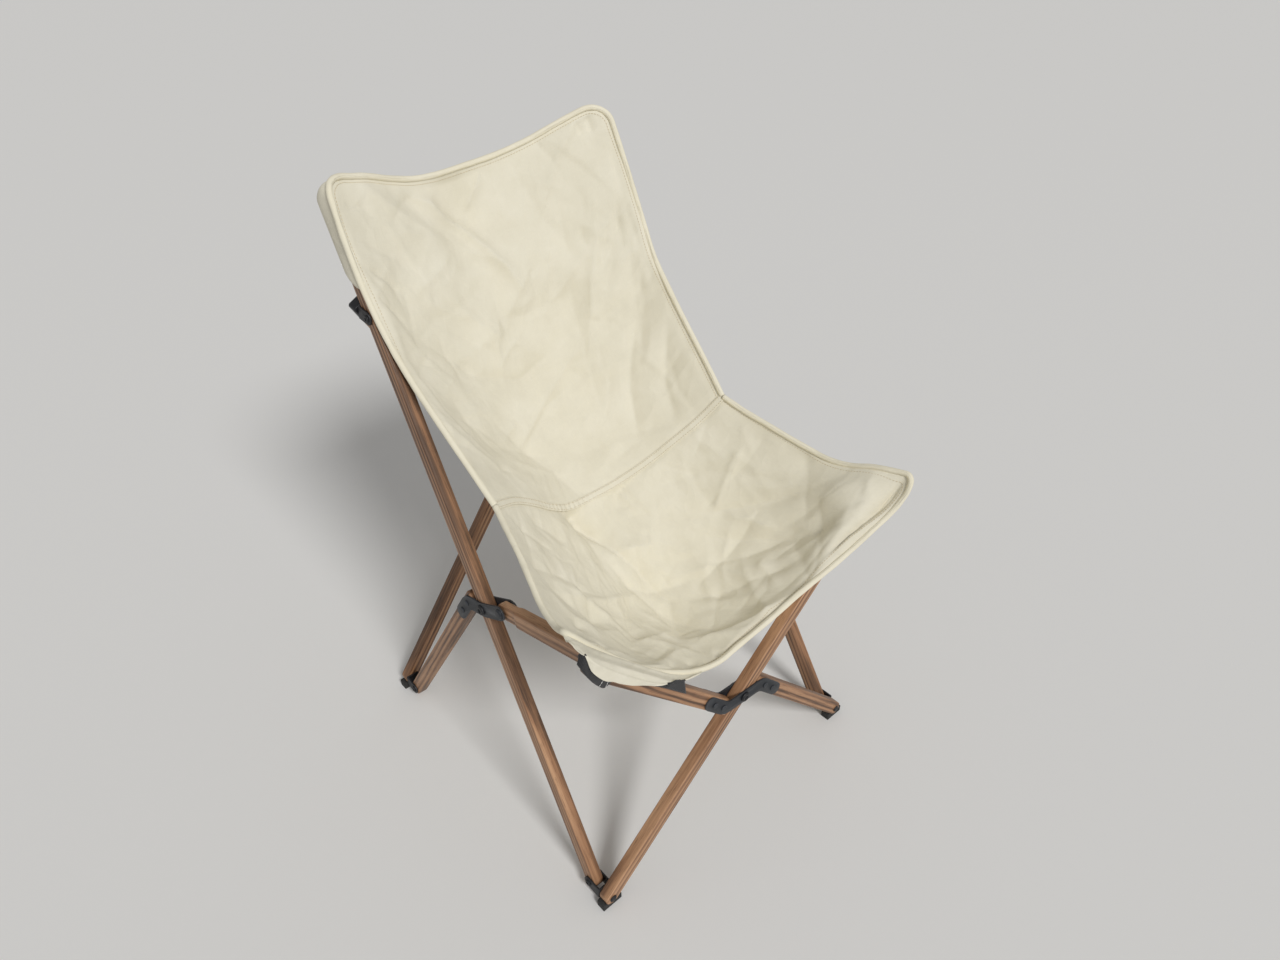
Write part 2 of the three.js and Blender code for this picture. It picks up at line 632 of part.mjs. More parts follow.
// The cloth drapes over a stick: it never comes nearer to its axis than the standoff,
// and it falls away to both sides of the stick.
const leftRailPin = mirrored(railPin);
const leftRailPath = mirrored(toward(railPivot, railPin));
const leftRailUp = cross(leftSideNormal, leftRailPath);
const supports = [
  { point: backTip, path: polePath, up: poleFront, side: sideNormal },
  { point: leftTip, path: leftPole, up: leftFront, side: leftSideNormal },
  { point: frontTip, path: frontPath, up: frontUp, side: frontNormal },
  { point: frontRightTip, path: frontRightPath, up: frontRightUp, side: frontNormal },
  { point: leftRailPin, path: leftRailPath, up: leftRailUp, side: leftSideNormal },
  { point: railPin, path: mirrored(leftRailPath), up: mirrored(leftRailUp), side: sideNormal },
];
const shoulder = bracketOutside + DRAPE_SHOULDER;
const draped = (point) => supports.reduce((spot, support) => {
  const offset = spot.clone().sub(support.point);
  const height = offset.dot(support.up);
  const aside = Math.max(0, Math.abs(offset.dot(support.side)) - shoulder);
  const floor = clothStandoff - DRAPE_SLOPE * aside;
  return height < floor ? along(spot, support.up, floor - height) : spot;
}, point);

// Tension folds fan out from the corner that each stick end holds.
const foldAt = (panel, u, v, width, length) => {
  const nearEnd = panel === panels.back ? v : 1 - v;
  const across = (1 - Math.abs(u)) * width;
  const down = nearEnd * length;
  const distance = Math.hypot(across, down);
  const angle = Math.atan2(down, across);
  const fade = Math.exp(-distance / FOLD_REACH) * (1 - nearEnd) ** 2;
  return FOLD_DEPTH * fade * Math.sin(FOLD_COUNT * angle) * (distance / (distance + FOLD_REACH / 5));
};
const clothPoint = (panel, u, v) => {
  const edge = panel.edge.getPointAt(v);
  const middle = panel.middle.getPointAt(v);
  const bow = Math.abs(u);
  const lean = bow ** THREE.MathUtils.lerp(panel.lean[0], panel.lean[1], v ** 4);
  const rise = bow ** THREE.MathUtils.lerp(panel.rise[0], panel.rise[1], v ** 4);
  const y = THREE.MathUtils.lerp(middle.y, edge.y, lean);
  const z = THREE.MathUtils.lerp(middle.z, edge.z, rise);
  const spot = vec(u * edge.x, y, z);
  const fold = foldAt(panel, u, v, edge.x, panel.edge.getLength());
  return draped(along(spot, panel.up, fold));
};
const clothNormal = (panel, u, v) => {
  const step = 0.004;
  const low = Math.max(0, v - step);
  const high = Math.min(1, v + step);
  const alongV = clothPoint(panel, u, high).sub(clothPoint(panel, u, low));
  const alongU = clothPoint(panel, u + step, v).sub(clothPoint(panel, u - step, v));
  return alongV.cross(alongU).normalize();
};

// The outer corners of the cloth are rounded, so its half width shrinks toward the free edge.
const cornerShare = (panel, v, width, length, radius, inset) => {
  const fromEnd = (panel === panels.back ? v : 1 - v) * length - inset;
  const round = radius - inset;
  const short = Math.max(0, round - fromEnd);
  const rest = round - Math.sqrt(Math.max(0, round ** 2 - short ** 2));
  return 1 - (inset + rest) / width;
};

// A cloth panel as a closed shell between its binding and the lumbar seam.
const BINDING_INSET = BINDING_RADIUS + TRIM_MARGIN;
const SEAM_INSET = WELT_RADIUS + CLEARANCE;
const GRID_ACROSS = 24;
const GRID_DOWN = 20;
const panelGeometry = (panel, radius) => {
  const length = Math.min(panel.middle.getLength(), panel.edge.getLength());
  const freeShare = BINDING_INSET / length;
  const seamShare = SEAM_INSET / length;
  const [from, to] = panel === panels.back ? [freeShare, 1 - seamShare] : [seamShare, 1 - freeShare];
  const position = [];
  [1, -1].forEach((side) => {
    for (let j = 0; j <= GRID_DOWN; j += 1) {
      const v = THREE.MathUtils.lerp(from, to, j / GRID_DOWN);
      const width = panel.edge.getPointAt(v).x;
      const reach = cornerShare(panel, v, width, length, radius, BINDING_INSET);
      for (let i = 0; i <= GRID_ACROSS; i += 1) {
        const u = reach * ((2 * i) / GRID_ACROSS - 1);
        const normal = clothNormal(panel, u, v);
        position.push(...along(clothPoint(panel, u, v), normal, (side * FABRIC) / 2).toArray());
      }
    }
  });
  const row = GRID_ACROSS + 1;
  const layer = row * (GRID_DOWN + 1);
  const index = [];
  const quad = (a, b, c, d) => index.push(a, b, c, a, c, d);
  for (let j = 0; j < GRID_DOWN; j += 1) {
    for (let i = 0; i < GRID_ACROSS; i += 1) {
      const a = j * row + i;
      const b = layer + a;
      if (i < GRID_ACROSS / 2) {
        quad(a, a + row, a + row + 1, a + 1);
        quad(b + row + 1, b + row, b, b + 1);
      } else {
        quad(a + row, a + row + 1, a + 1, a);
        quad(b + row, b, b + 1, b + row + 1);
      }
    }
  }
  for (let i = 0; i < GRID_ACROSS; i += 1) {
    const end = GRID_DOWN * row + i;
    quad(i + 1, layer + i + 1, layer + i, i);
    quad(end, layer + end, layer + end + 1, end + 1);
  }
  for (let j = 0; j < GRID_DOWN; j += 1) {
    const a = j * row;
    const b = a + GRID_ACROSS;
    quad(a, layer + a, layer + a + row, a + row);
    quad(b + row, layer + b + row, layer + b, b);
  }
  const geometry = new THREE.BufferGeometry();
  geometry.setAttribute("position", new THREE.Float32BufferAttribute(position, 3));
  geometry.setIndex(index);
  return geometry;
};

// Round trim along the edges and the seam.
const trimGeometry = (points, radius, steps) => {
  const section = new THREE.Shape().absarc(0, 0, radius, 0, 2 * Math.PI, false);
  return new THREE.ExtrudeGeometry(section, {
    steps,
    bevelEnabled: false,
    curveSegments: 4,
    extrudePath: curve(points),
  });
};
const proud = BINDING_RADIUS - FABRIC / 2;
const bindingPoints = (panel, radius) => {
  const length = panel.edge.getLength();
  const ahead = panel === panels.back;
  const seamShare = SEAM_END_GAP / length;
  const spots = [];
  const SIDE_STEPS = 12;
  const TURN_STEPS = 5;
  const TOP_STEPS = 16;
  const cornerV = radius / length;
  for (let i = 0; i <= SIDE_STEPS; i += 1) {
    const fromEnd = THREE.MathUtils.lerp(1 - seamShare, cornerV, i / SIDE_STEPS);
    spots.push([1, fromEnd]);
  }
  for (let i = 1; i <= TURN_STEPS; i += 1) {
    const turn = (Math.PI / 2) * (i / TURN_STEPS);
    const fromEnd = cornerV * (1 - Math.sin(turn));
    const v = ahead ? fromEnd : 1 - fromEnd;
    spots.push([cornerShare(panel, v, panel.edge.getPointAt(v).x, length, radius, 0), fromEnd]);
  }
  const topReach = spots[spots.length - 1][0];
  const half = spots.map(([u, fromEnd]) => [u, fromEnd]);
  const top = Array.from({ length: TOP_STEPS - 1 }, (_, i) => [topReach * (1 - (2 * (i + 1)) / TOP_STEPS), 0]);
  const all = [...half, ...top, ...half.reverse().map(([u, fromEnd]) => [-u, fromEnd])];
  return all.map(([u, fromEnd]) => {
    const v = ahead ? fromEnd : 1 - fromEnd;
    return along(clothPoint(panel, u, v), clothNormal(panel, u, v), proud);
  });
};
const BINDING_STEPS = 64;
const WELT_STEPS = 28;
addPiece(sling, "sling_back_panel", panelGeometry(panels.back, BACK_CORNER_RADIUS), canvas());
addPiece(sling, "sling_seat_panel", panelGeometry(panels.seat, FRONT_CORNER_RADIUS), canvas());
const backTrim = trimGeometry(bindingPoints(panels.back, BACK_CORNER_RADIUS), BINDING_RADIUS, BINDING_STEPS);
const seatTrim = trimGeometry(bindingPoints(panels.seat, FRONT_CORNER_RADIUS), BINDING_RADIUS, BINDING_STEPS);
addPiece(sling, "back_binding", backTrim, canvas());
addPiece(sling, "seat_binding", seatTrim, canvas());
const weltReach = 1 - BINDING_INSET / seamEnd.x;
const weltPoints = Array.from({ length: 21 }, (_, i) => clothPoint(panels.seat, weltReach * (i / 10 - 1), 0));
addPiece(sling, "lumbar_welt", trimGeometry(weltPoints, WELT_RADIUS, WELT_STEPS), canvas());

// Section of a sleeve that fits a stick, with its corners taken off.
const stickSection = (halfX, halfY, chamfer) => {
  const shape = new THREE.Shape();
  shape.moveTo(-halfX + chamfer, -halfY);
  shape.lineTo(halfX - chamfer, -halfY);
  shape.lineTo(halfX, -halfY + chamfer);
  shape.lineTo(halfX, halfY - chamfer);
  shape.lineTo(halfX - chamfer, halfY);
  shape.lineTo(-halfX + chamfer, halfY);
  shape.lineTo(-halfX, halfY - chamfer);
  shape.lineTo(-halfX, -halfY + chamfer);
  return shape;
};

// Pockets: sleeves closed at the top, slipped over the four stick ends.
const pocketGeometry = (length) => {
  const sleeve = (grow, chamfer, from, to) => {
    const section = stickSection(halfWidth + grow, halfThickness + grow, chamfer);
    return placed(extruded(section, to - from), new THREE.Matrix4().makeTranslation(0, 0, from));
  };
  const outside = POCKET_CLEARANCE + POCKET_WALL;
  const outer = sleeve(outside, outside, -length, outside);
  const inner = sleeve(POCKET_CLEARANCE, POCKET_CLEARANCE / 2, -length - 1, POCKET_CLEARANCE);
  return cut(outer, inner);
};
const addPocket = (name, length, { point, path, up }) => {
  addPiece(sling, name, pocketGeometry(length), canvas(), basis(up, cross(path, up), path, point));
};
addPocket("back_right_pocket", BACK_POCKET_LENGTH, supports[0]);
addPocket("back_left_pocket", BACK_POCKET_LENGTH, supports[1]);
addPocket("front_left_pocket", FRONT_POCKET_LENGTH, supports[2]);
addPocket("front_right_pocket", FRONT_POCKET_LENGTH, supports[3]);

// The origin lies on the floor below the middle of the chair.
chair.updateMatrixWorld(true);
const bounds = new THREE.Box3().setFromObject(chair, true);
chair.position.y = -(bounds.min.y + bounds.max.y) / 2;

export default chair;
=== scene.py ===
# %% [markdown]
# # A folding butterfly chair
# Walnut sticks and black steel hinges make a frame that folds into a bundle, and a cream canvas sling
# hangs from four stick ends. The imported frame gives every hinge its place, so this lesson only dresses it.
# Lengths are metres, +Z is up, the sitter faces -Y and the sitter's right is -X.

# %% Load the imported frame
import json
import math

import bmesh
import bpy
import numpy as np
from mathutils import Matrix


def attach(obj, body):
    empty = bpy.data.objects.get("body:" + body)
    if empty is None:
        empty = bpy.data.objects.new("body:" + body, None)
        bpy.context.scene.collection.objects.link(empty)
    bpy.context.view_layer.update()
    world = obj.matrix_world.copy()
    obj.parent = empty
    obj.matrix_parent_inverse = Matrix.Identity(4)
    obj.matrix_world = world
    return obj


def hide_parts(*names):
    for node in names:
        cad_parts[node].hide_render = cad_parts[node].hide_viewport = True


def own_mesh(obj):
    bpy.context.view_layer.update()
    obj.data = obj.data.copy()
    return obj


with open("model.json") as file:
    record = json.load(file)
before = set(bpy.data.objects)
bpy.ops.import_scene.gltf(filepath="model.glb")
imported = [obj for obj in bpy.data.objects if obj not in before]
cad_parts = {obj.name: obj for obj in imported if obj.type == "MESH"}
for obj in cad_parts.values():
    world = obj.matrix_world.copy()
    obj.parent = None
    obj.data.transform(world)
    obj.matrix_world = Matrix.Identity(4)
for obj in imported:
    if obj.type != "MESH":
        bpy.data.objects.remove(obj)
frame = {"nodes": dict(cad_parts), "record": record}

MM = 0.001
nodes = frame["nodes"]
bodies = frame["record"]["behaviour"]["bodies"]
body_of = {node: body for body, members in bodies.items() for node in members}
slot_of = {part["node"]: part["material_slot"] for part in frame["record"]["subparts"]}
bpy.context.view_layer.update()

# %% [markdown]
# ## The camera
# The photograph looks down on the chair from its right front. Solving the perspective of the feet and the
# hinges gave the place of the lens, a short focal length and a slight roll, written here as found.

# %% Camera
CAMERA_PLACE = np.array([-0.6386, -0.7818, 1.1801])
CAMERA_AIM = np.array([-0.0237, -0.0851, 0.5157])
CAMERA_ROLL = math.radians(-0.82)
CAMERA_LENS = 24.97
UP = np.array([0.0, 0.0, 1.0])


def unit(vectors):
    """Each vector divided by its own length."""
    return vectors / np.linalg.norm(vectors, axis=-1, keepdims=True)


def camera_turn(place, aim, roll):
    """Columns are the picture's right and up, turned by the roll, and the way back from the aim."""
    view = unit(aim - place)
    right = unit(np.cross(view, UP))
    top = np.cross(right, view)
    rolled_right = right * math.cos(roll) + top * math.sin(roll)
    rolled_top = top * math.cos(roll) - right * math.sin(roll)
    turn = np.eye(4)
    turn[:3, :4] = np.stack([rolled_right, rolled_top, -view, place], axis=1)
    return Matrix(turn.tolist())


lens = bpy.data.cameras.new("camera")
lens.lens = CAMERA_LENS
camera = bpy.data.objects.new("camera", lens)
camera.matrix_world = camera_turn(CAMERA_PLACE, CAMERA_AIM, CAMERA_ROLL)
bpy.context.scene.collection.objects.link(camera)
bpy.context.scene.camera = camera
print("camera at", CAMERA_PLACE.tolist())

# %% [markdown]
# ## Meshes from arrays
# Almost every new piece is a grid of points: a curve of parameter u carried along a second parameter v.
# One helper names the grid's quads, and one puts points, faces, a UV map and a body into Blender.

# %% Grid helpers
def grid_quads(rows, columns, wrap=False):
    """Each quad joins a grid point to its neighbours one column and one row on; wrap closes the columns."""
    index = np.arange(rows * columns).reshape(rows, columns)
    if wrap:
        index = np.hstack([index, index[:, :1]])
    corners = [index[:-1, :-1], index[:-1, 1:], index[1:, 1:], index[1:, :-1]]
    return np.stack(corners, axis=-1).reshape(-1, 4)


def new_piece(name, points, faces, material, smooth=True):
    """A mesh object at the origin from an array of points and lists of corner numbers."""
    mesh = bpy.data.meshes.new(name)
    mesh.from_pydata(points.reshape(-1, 3).tolist(), [], [list(map(int, face)) for face in faces])
    mesh.polygons.foreach_set("use_smooth", np.full(len(mesh.polygons), smooth))
    mesh.materials.append(material)
    piece = bpy.data.objects.new(name, mesh)
    bpy.context.scene.collection.objects.link(piece)
    return piece


def set_uv(piece, places):
    """The UV map holds the two lengths of each point on its own cloth, in metres."""
    mesh = piece.data
    corner_points = np.empty(len(mesh.loops), np.int32)
    mesh.loops.foreach_get("vertex_index", corner_points)
    layer = mesh.uv_layers.new(name="cloth")
    layer.data.foreach_set("uv", places.reshape(-1, 2)[corner_points].astype(np.float32).ravel())


def ride_as(piece, body, slot, *replaced):
    """The piece moves with a body and stands for the named nodes, which it hides; the slot is not used."""
    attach(piece, body)
    if replaced:
        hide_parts(*replaced)
    return piece


def smooth_curve(points):
    """Cubic through points in millimetres: t is the share of chord length, slopes are those of neighbours."""
    points = np.asarray(points, float) * MM
    steps = np.linalg.norm(np.diff(points, axis=0), axis=1)
    knots = np.concatenate([[0.0], np.cumsum(steps)]) / steps.sum()
    slopes = np.gradient(points, knots, axis=0)

    def at(t):
        t = np.clip(t, 0.0, 1.0)
        i = np.clip(np.searchsorted(knots, t, side="right") - 1, 0, len(knots) - 2)
        width = (knots[i + 1] - knots[i])[..., None]
        s = (t - knots[i])[..., None] / width
        ends = (2 * s**3 - 3 * s**2 + 1) * points[i] + (3 * s**2 - 2 * s**3) * points[i + 1]
        bends = (s**3 - 2 * s**2 + s) * slopes[i] + (s**3 - s**2) * slopes[i + 1]
        return ends + width * bends

    return at


def ramp(x, low, high):
    """0 below low, 1 above high, and the smooth cubic step between them."""
    t = np.clip((x - low) / (high - low), 0.0, 1.0)
    return t * t * (3 - 2 * t)


print("grid helpers ready")

# %% [markdown]
# ## Finishes
# A finish is a node tree on the principled shader. Short helpers add nodes and wire them, so that each
# finish below reads as a list: what pattern, at what scale, and where it goes.

# %% Node helpers
def new_finish(name, **sockets):
    """A material whose principled shader has plain values set on its own sockets."""
    material = bpy.data.materials.new(name)
    material.use_nodes = True
    shader = material.node_tree.nodes["Principled BSDF"]
    for socket, value in sockets.items():
        shader.inputs[socket.replace("_", " ").title()].default_value = value
    return material, material.node_tree, shader


def add_node(tree, kind, settings=None, **sockets):
    """A node with its settings, and with its sockets either given a value or wired to another socket."""
    node = tree.nodes.new(kind)
    for setting, value in (settings or {}).items():
        setattr(node, setting, value)
    for socket, value in sockets.items():
        place = node.inputs[int(socket[1:])] if socket[0] == "_" else node.inputs[socket]
        if isinstance(value, bpy.types.NodeSocket):
            tree.links.new(value, place)
        else:
            place.default_value = value
    return node


def colour_ramp(tree, factor, *stops):
    """Colours at shares of a factor, blended between them."""
    node = add_node(tree, "ShaderNodeValToRGB", Fac=factor)
    elements = node.color_ramp.elements
    while len(elements) < len(stops):
        elements.new(0.5)
    for element, (share, colour) in zip(elements, stops):
        element.position = share
        element.color = (*colour, 1.0)
    return node.outputs["Color"]


def stretched(tree, source, scale):
    """Coordinates multiplied along each axis, so that a pattern runs long one way and short another."""
    return add_node(tree, "ShaderNodeMapping", Vector=source, Scale=scale).outputs["Vector"]


def noise(tree, vector, scale=1.0, detail=4.0, roughness=0.5, distortion=0.0):
    """Cloudy values between 0 and 1."""
    sockets = {"Vector": vector, "Scale": scale, "Detail": detail}
    return add_node(
        tree, "ShaderNodeTexNoise", Roughness=roughness, Distortion=distortion, **sockets
    ).outputs["Fac"]


def bump(tree, height, strength, distance, under=None):
    """A normal that leans with a height, on top of another bump where one is given."""
    sockets = {"Height": height, "Strength": strength, "Distance": distance}
    if under is not None:
        sockets["Normal"] = under
    return add_node(tree, "ShaderNodeBump", **sockets).outputs["Normal"]


def math_node(tree, operation, first, second=0.0):
    """One sum, product or sine of two values."""
    return add_node(tree, "ShaderNodeMath", {"operation": operation}, _0=first, _1=second).outputs[0]


def sine(tree, value, pitch):
    """A sine that repeats once in each pitch."""
    return math_node(tree, "SINE", math_node(tree, "MULTIPLY", value, 2 * math.pi / pitch))


def weighted_sum(tree, *terms):
    """The sum of values, each times its own weight."""
    total = 0.0
    for value, weight in terms:
        total = math_node(tree, "ADD", math_node(tree, "MULTIPLY", value, weight), total)
    return total


def spread(tree, value, low, high):
    """A value between 0 and 1 moved to run from low to high."""
    sockets = {"Value": value, "To Min": low, "To Max": high}
    return add_node(tree, "ShaderNodeMapRange", **sockets).outputs["Result"]


def feed(tree, shader, **sockets):
    """Each value wired to the shader's socket of that name."""
    for socket, value in sockets.items():
        tree.links.new(value, shader.inputs[socket.replace("_", " ").title()])


print("node helpers ready")

# %% [markdown]
# ### Canvas
# The sling is heavy unbleached cotton, woven plainly, so it is cream with a faint mottle and a fine weave.
# The weave follows the UV map of each cloth, which is in metres, so its threads keep their real pitch.

# %% Canvas finish
THREAD_PITCH = 0.0011
CREAM_DEEP = (0.700, 0.655, 0.520)
CREAM_MAIN = (0.765, 0.720, 0.585)
CREAM_PALE = (0.815, 0.772, 0.645)


def canvas_finish(name, deep, main, pale):
    """Cream by cloudy mottle and slubby threads; height is the product of two sines across the threads."""
    material, tree, shader = new_finish(name, roughness=0.93, sheen_weight=0.08)
    shader.inputs["Sheen Roughness"].default_value = 0.6
    shader.inputs["Specular IOR Level"].default_value = 0.2
    uv = add_node(tree, "ShaderNodeUVMap").outputs["UV"]
    here = add_node(tree, "ShaderNodeTexCoord").outputs["Object"]
    clouds = noise(tree, here, scale=14.0, detail=5.0, roughness=0.6)
    slubs = noise(tree, stretched(tree, uv, (60.0, 1400.0, 1.0)), detail=3.0)
    cross_slubs = noise(tree, stretched(tree, uv, (1400.0, 60.0, 1.0)), detail=3.0)
    threads = math_node(tree, "ADD", slubs, cross_slubs)
    mixed = weighted_sum(tree, (clouds, 0.62), (threads, 0.19))
    colour = colour_ramp(tree, mixed, (0.28, deep), (0.5, main), (0.72, pale))
    parts = add_node(tree, "ShaderNodeSeparateXYZ", Vector=uv)
    warp = sine(tree, parts.outputs["X"], THREAD_PITCH)
    weft = sine(tree, parts.outputs["Y"], THREAD_PITCH)
    fine = bump(tree, math_node(tree, "MULTIPLY", warp, weft), strength=0.16, distance=0.0002)
    wander = add_node(tree, "ShaderNodeTexNoise", Vector=uv, Scale=20.0, Detail=3.0).outputs["Color"]
    bent_uv = add_node(
        tree, "ShaderNodeVectorMath", {"operation": "MULTIPLY_ADD"}, _0=wander, _1=(0.035, 0.035, 0.0), _2=uv
    ).outputs["Vector"]
    crumples = add_node(
        tree, "ShaderNodeTexVoronoi", {"voronoi_dimensions": "2D"},
        Vector=bent_uv, Scale=17.0, Detail=1.0, Roughness=0.5,
    ).outputs["Distance"]
    soft = bump(tree, crumples, strength=0.4, distance=0.006, under=fine)
    slubby = bump(tree, threads, strength=0.10, distance=0.0004, under=soft)
    feed(tree, shader, base_color=colour, normal=slubby)
    return material


canvas = canvas_finish("cream_canvas", CREAM_DEEP, CREAM_MAIN, CREAM_PALE)
tape = canvas_finish("cream_binding", (0.760, 0.705, 0.545), (0.815, 0.760, 0.600), (0.855, 0.805, 0.660))
print("canvas threads are", THREAD_PITCH / MM, "mm apart")

# %% [markdown]
# ### Walnut
# The sticks are oiled walnut. Grain runs along each stick, so every stick carries its own lengthwise
# coordinates as an attribute, and the streaks, rings and pores are noises stretched along its first axis.

# %% Walnut finish
WALNUT_DARK = (0.095, 0.047, 0.023)
WALNUT_BROWN = (0.325, 0.166, 0.083)
WALNUT_PALE = (0.510, 0.292, 0.160)


def walnut_finish():
    """Streaks and rings choose between three browns, and short dark pores are pressed in along the grain."""
    material, tree, shader = new_finish("oiled_walnut", roughness=0.48)
    grain = add_node(tree, "ShaderNodeAttribute", {"attribute_name": "grain"}).outputs["Vector"]
    fibres = stretched(tree, grain, (6.0, 190.0, 190.0))
    streaks = noise(tree, fibres, detail=6.0, roughness=0.62, distortion=0.8)
    rings = add_node(
        tree, "ShaderNodeTexWave", {"bands_direction": "Y"}, Vector=stretched(tree, grain, (0.7, 9.0, 9.0)),
        Scale=4.2, Distortion=7.0, Detail=3.0,
    ).outputs["Fac"]
    patches = noise(tree, stretched(tree, grain, (2.2, 14.0, 14.0)), detail=3.0)
    blend = weighted_sum(tree, (streaks, 0.40), (rings, 0.20), (patches, 0.42))
    colour = colour_ramp(tree, blend, (0.36, WALNUT_DARK), (0.50, WALNUT_BROWN), (0.68, WALNUT_PALE))
    pores = noise(tree, stretched(tree, grain, (45.0, 1500.0, 1500.0)), detail=2.0)
    open_pores = colour_ramp(tree, pores, (0.30, (0.45, 0.42, 0.40)), (0.42, (1.0, 1.0, 1.0)))
    settings = {"data_type": "RGBA", "blend_type": "MULTIPLY"}
    mixed = add_node(tree, "ShaderNodeMix", settings, _0=1.0, _6=colour, _7=open_pores).outputs[2]
    pressed = bump(tree, pores, strength=0.25, distance=0.0002)
    feed(tree, shader, base_color=mixed, roughness=spread(tree, streaks, 0.58, 0.40), normal=pressed)
    return material


walnut = walnut_finish()
print("walnut browns", WALNUT_DARK, WALNUT_PALE)

# %% [markdown]
# ### Black steel, rubber and webbing
# The hinges are powder coated a bluish charcoal: matt, with a fine orange peel and slightly rubbed edges.
# The foot pads are black rubber, and the band inside the front flap is ribbed black webbing.

# %% Steel, rubber and webbing finishes
POINTY = 0.52
WEAR = 9.0
RIB_PITCH = 0.0018
CROSS_PITCH = 0.0009


def coated_steel_finish(name, main, rubbed):
    """Charcoal by cloudy mottle, paler on worn convex edges, with a fine peel as its height."""
    material, tree, shader = new_finish(name, roughness=0.5, metallic=0.25)
    here = add_node(tree, "ShaderNodeTexCoord").outputs["Object"]
    clouds = noise(tree, here, scale=60.0, detail=5.0, roughness=0.65)
    edges = add_node(tree, "ShaderNodeNewGeometry").outputs["Pointiness"]
    convex = math_node(tree, "SUBTRACT", edges, POINTY)
    worn = math_node(tree, "MULTIPLY", convex, math_node(tree, "MULTIPLY", clouds, WEAR))
    factor = weighted_sum(tree, (clouds, 0.35), (worn, 1.0))
    colour = colour_ramp(tree, factor, (0.1, main), (0.9, rubbed))
    peel = bump(tree, noise(tree, here, scale=1900.0, detail=2.0), strength=0.12, distance=0.0002)
    feed(tree, shader, base_color=colour, roughness=spread(tree, clouds, 0.42, 0.60), normal=peel)
    return material


def rubber_finish():
    """Near black with dusty clouds and a pebbled height."""
    material, tree, shader = new_finish("black_rubber", roughness=0.82)
    here = add_node(tree, "ShaderNodeTexCoord").outputs["Object"]
    dust = noise(tree, here, scale=120.0, detail=5.0, roughness=0.7)
    colour = colour_ramp(tree, dust, (0.35, (0.012, 0.012, 0.012)), (0.75, (0.045, 0.043, 0.040)))
    pebbles = bump(tree, noise(tree, here, scale=2400.0, detail=2.0), strength=0.3, distance=0.0002)
    feed(tree, shader, base_color=colour, normal=pebbles)
    return material


def webbing_finish():
    """Black ribs: height is a sine along the band, broken by a finer one across it."""
    material, tree, shader = new_finish("black_webbing", roughness=0.75, sheen_weight=0.15)
    uv = add_node(tree, "ShaderNodeUVMap").outputs["UV"]
    parts = add_node(tree, "ShaderNodeSeparateXYZ", Vector=uv)
    along = sine(tree, parts.outputs["X"], RIB_PITCH)
    across = sine(tree, parts.outputs["Y"], CROSS_PITCH)
    ribs = weighted_sum(tree, (along, 1.0), (across, 0.5))
    colour = colour_ramp(tree, ribs, (0.0, (0.008, 0.008, 0.009)), (1.0, (0.030, 0.030, 0.033)))
    feed(tree, shader, base_color=colour, normal=bump(tree, ribs, strength=0.5, distance=0.0004))
    return material


def thread_finish(name, main, pale):
    """Sewing thread: one colour with faint ply stripes from a fine noise."""
    material, tree, shader = new_finish(name, roughness=0.8, sheen_weight=0.1)
    here = add_node(tree, "ShaderNodeTexCoord").outputs["Object"]
    ply = noise(tree, here, scale=1500.0)
    feed(tree, shader, base_color=colour_ramp(tree, ply, (0.35, main), (0.65, pale)))
    return material


steel = coated_steel_finish("charcoal_steel", (0.020, 0.023, 0.028), (0.115, 0.122, 0.135))
black_steel = coated_steel_finish("black_steel", (0.010, 0.010, 0.012), (0.070, 0.070, 0.074))
rubber = rubber_finish()
webbing = webbing_finish()
thread = thread_finish("tan_thread", (0.50, 0.41, 0.25), (0.66, 0.57, 0.40))
white_thread = thread_finish("white_thread", (0.66, 0.65, 0.62), (0.80, 0.79, 0.76))
print("finishes made:", [material.name for material in bpy.data.materials if material.users == 0])

# %% [markdown]
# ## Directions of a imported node
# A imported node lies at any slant, so its own directions come from its faces. A stick's widest faces look
# along its thickness, the next along its width, and the least along its length.

# %% Node directions
def node_points(node):
    """A node's points in the row frame."""
    points = np.empty(len(nodes[node].data.vertices) * 3)
    nodes[node].data.vertices.foreach_get("co", points)
    world = np.array(nodes[node].matrix_world)
    return points.reshape(-1, 3) @ world[:3, :3].T + world[:3, 3]


def face_frame(node):
    """Directions (as rows) by rising area of the faces that look along them, with those areas."""
    mesh = nodes[node].data
    normals = np.empty(len(mesh.polygons) * 3)
    areas = np.empty(len(mesh.polygons))
    mesh.polygons.foreach_get("normal", normals)
    mesh.polygons.foreach_get("area", areas)
    normals = normals.reshape(-1, 3) @ np.array(nodes[node].matrix_world)[:3, :3].T
    shares, turn = np.linalg.eigh((normals * areas[:, None]).T @ normals)
    return turn.T, shares


def stick_frame(node):
    """A stick's directions along its length, its width and its thickness, as rows."""
    turn, _ = face_frame(node)
    turn[2] = np.cross(turn[0], turn[1])
    return turn


def local_points(node, turn):
    """A node's points along the directions from the middle of its box, that middle, and half the box."""
    local = node_points(node) @ turn.T
    centre = (local.max(0) + local.min(0)) / 2
    return local - centre, centre @ turn, (local.max(0) - local.min(0)) / 2


print("the front pole points along", stick_frame("front_pole")[0].round(3))

# %% [markdown]
# ## The sticks
# Each stick is a straight batten with softly eased edges and rounded ends. Its outline is carried through
# the thickness, and drawn in near both faces so that the edges are round.

# %% Sticks
EASED_EDGE = 1.6 * MM
STUB_ROUND = 3.0 * MM
END_STEPS = 11
SIDE_STEPS = 40
EDGE_STEPS = 5
ROOT_LENGTH = 38.0 * MM
ROOT_TAPER = 6.0 * MM
ROOT_LIMIT = 0.8
END_SLICE = 1.0 * MM
ROUND_LIMIT = 0.62
ROUND_SPARE = 0.05 * MM
GRAIN_SHIFT = np.array([1.7, 0.31, 0.17])


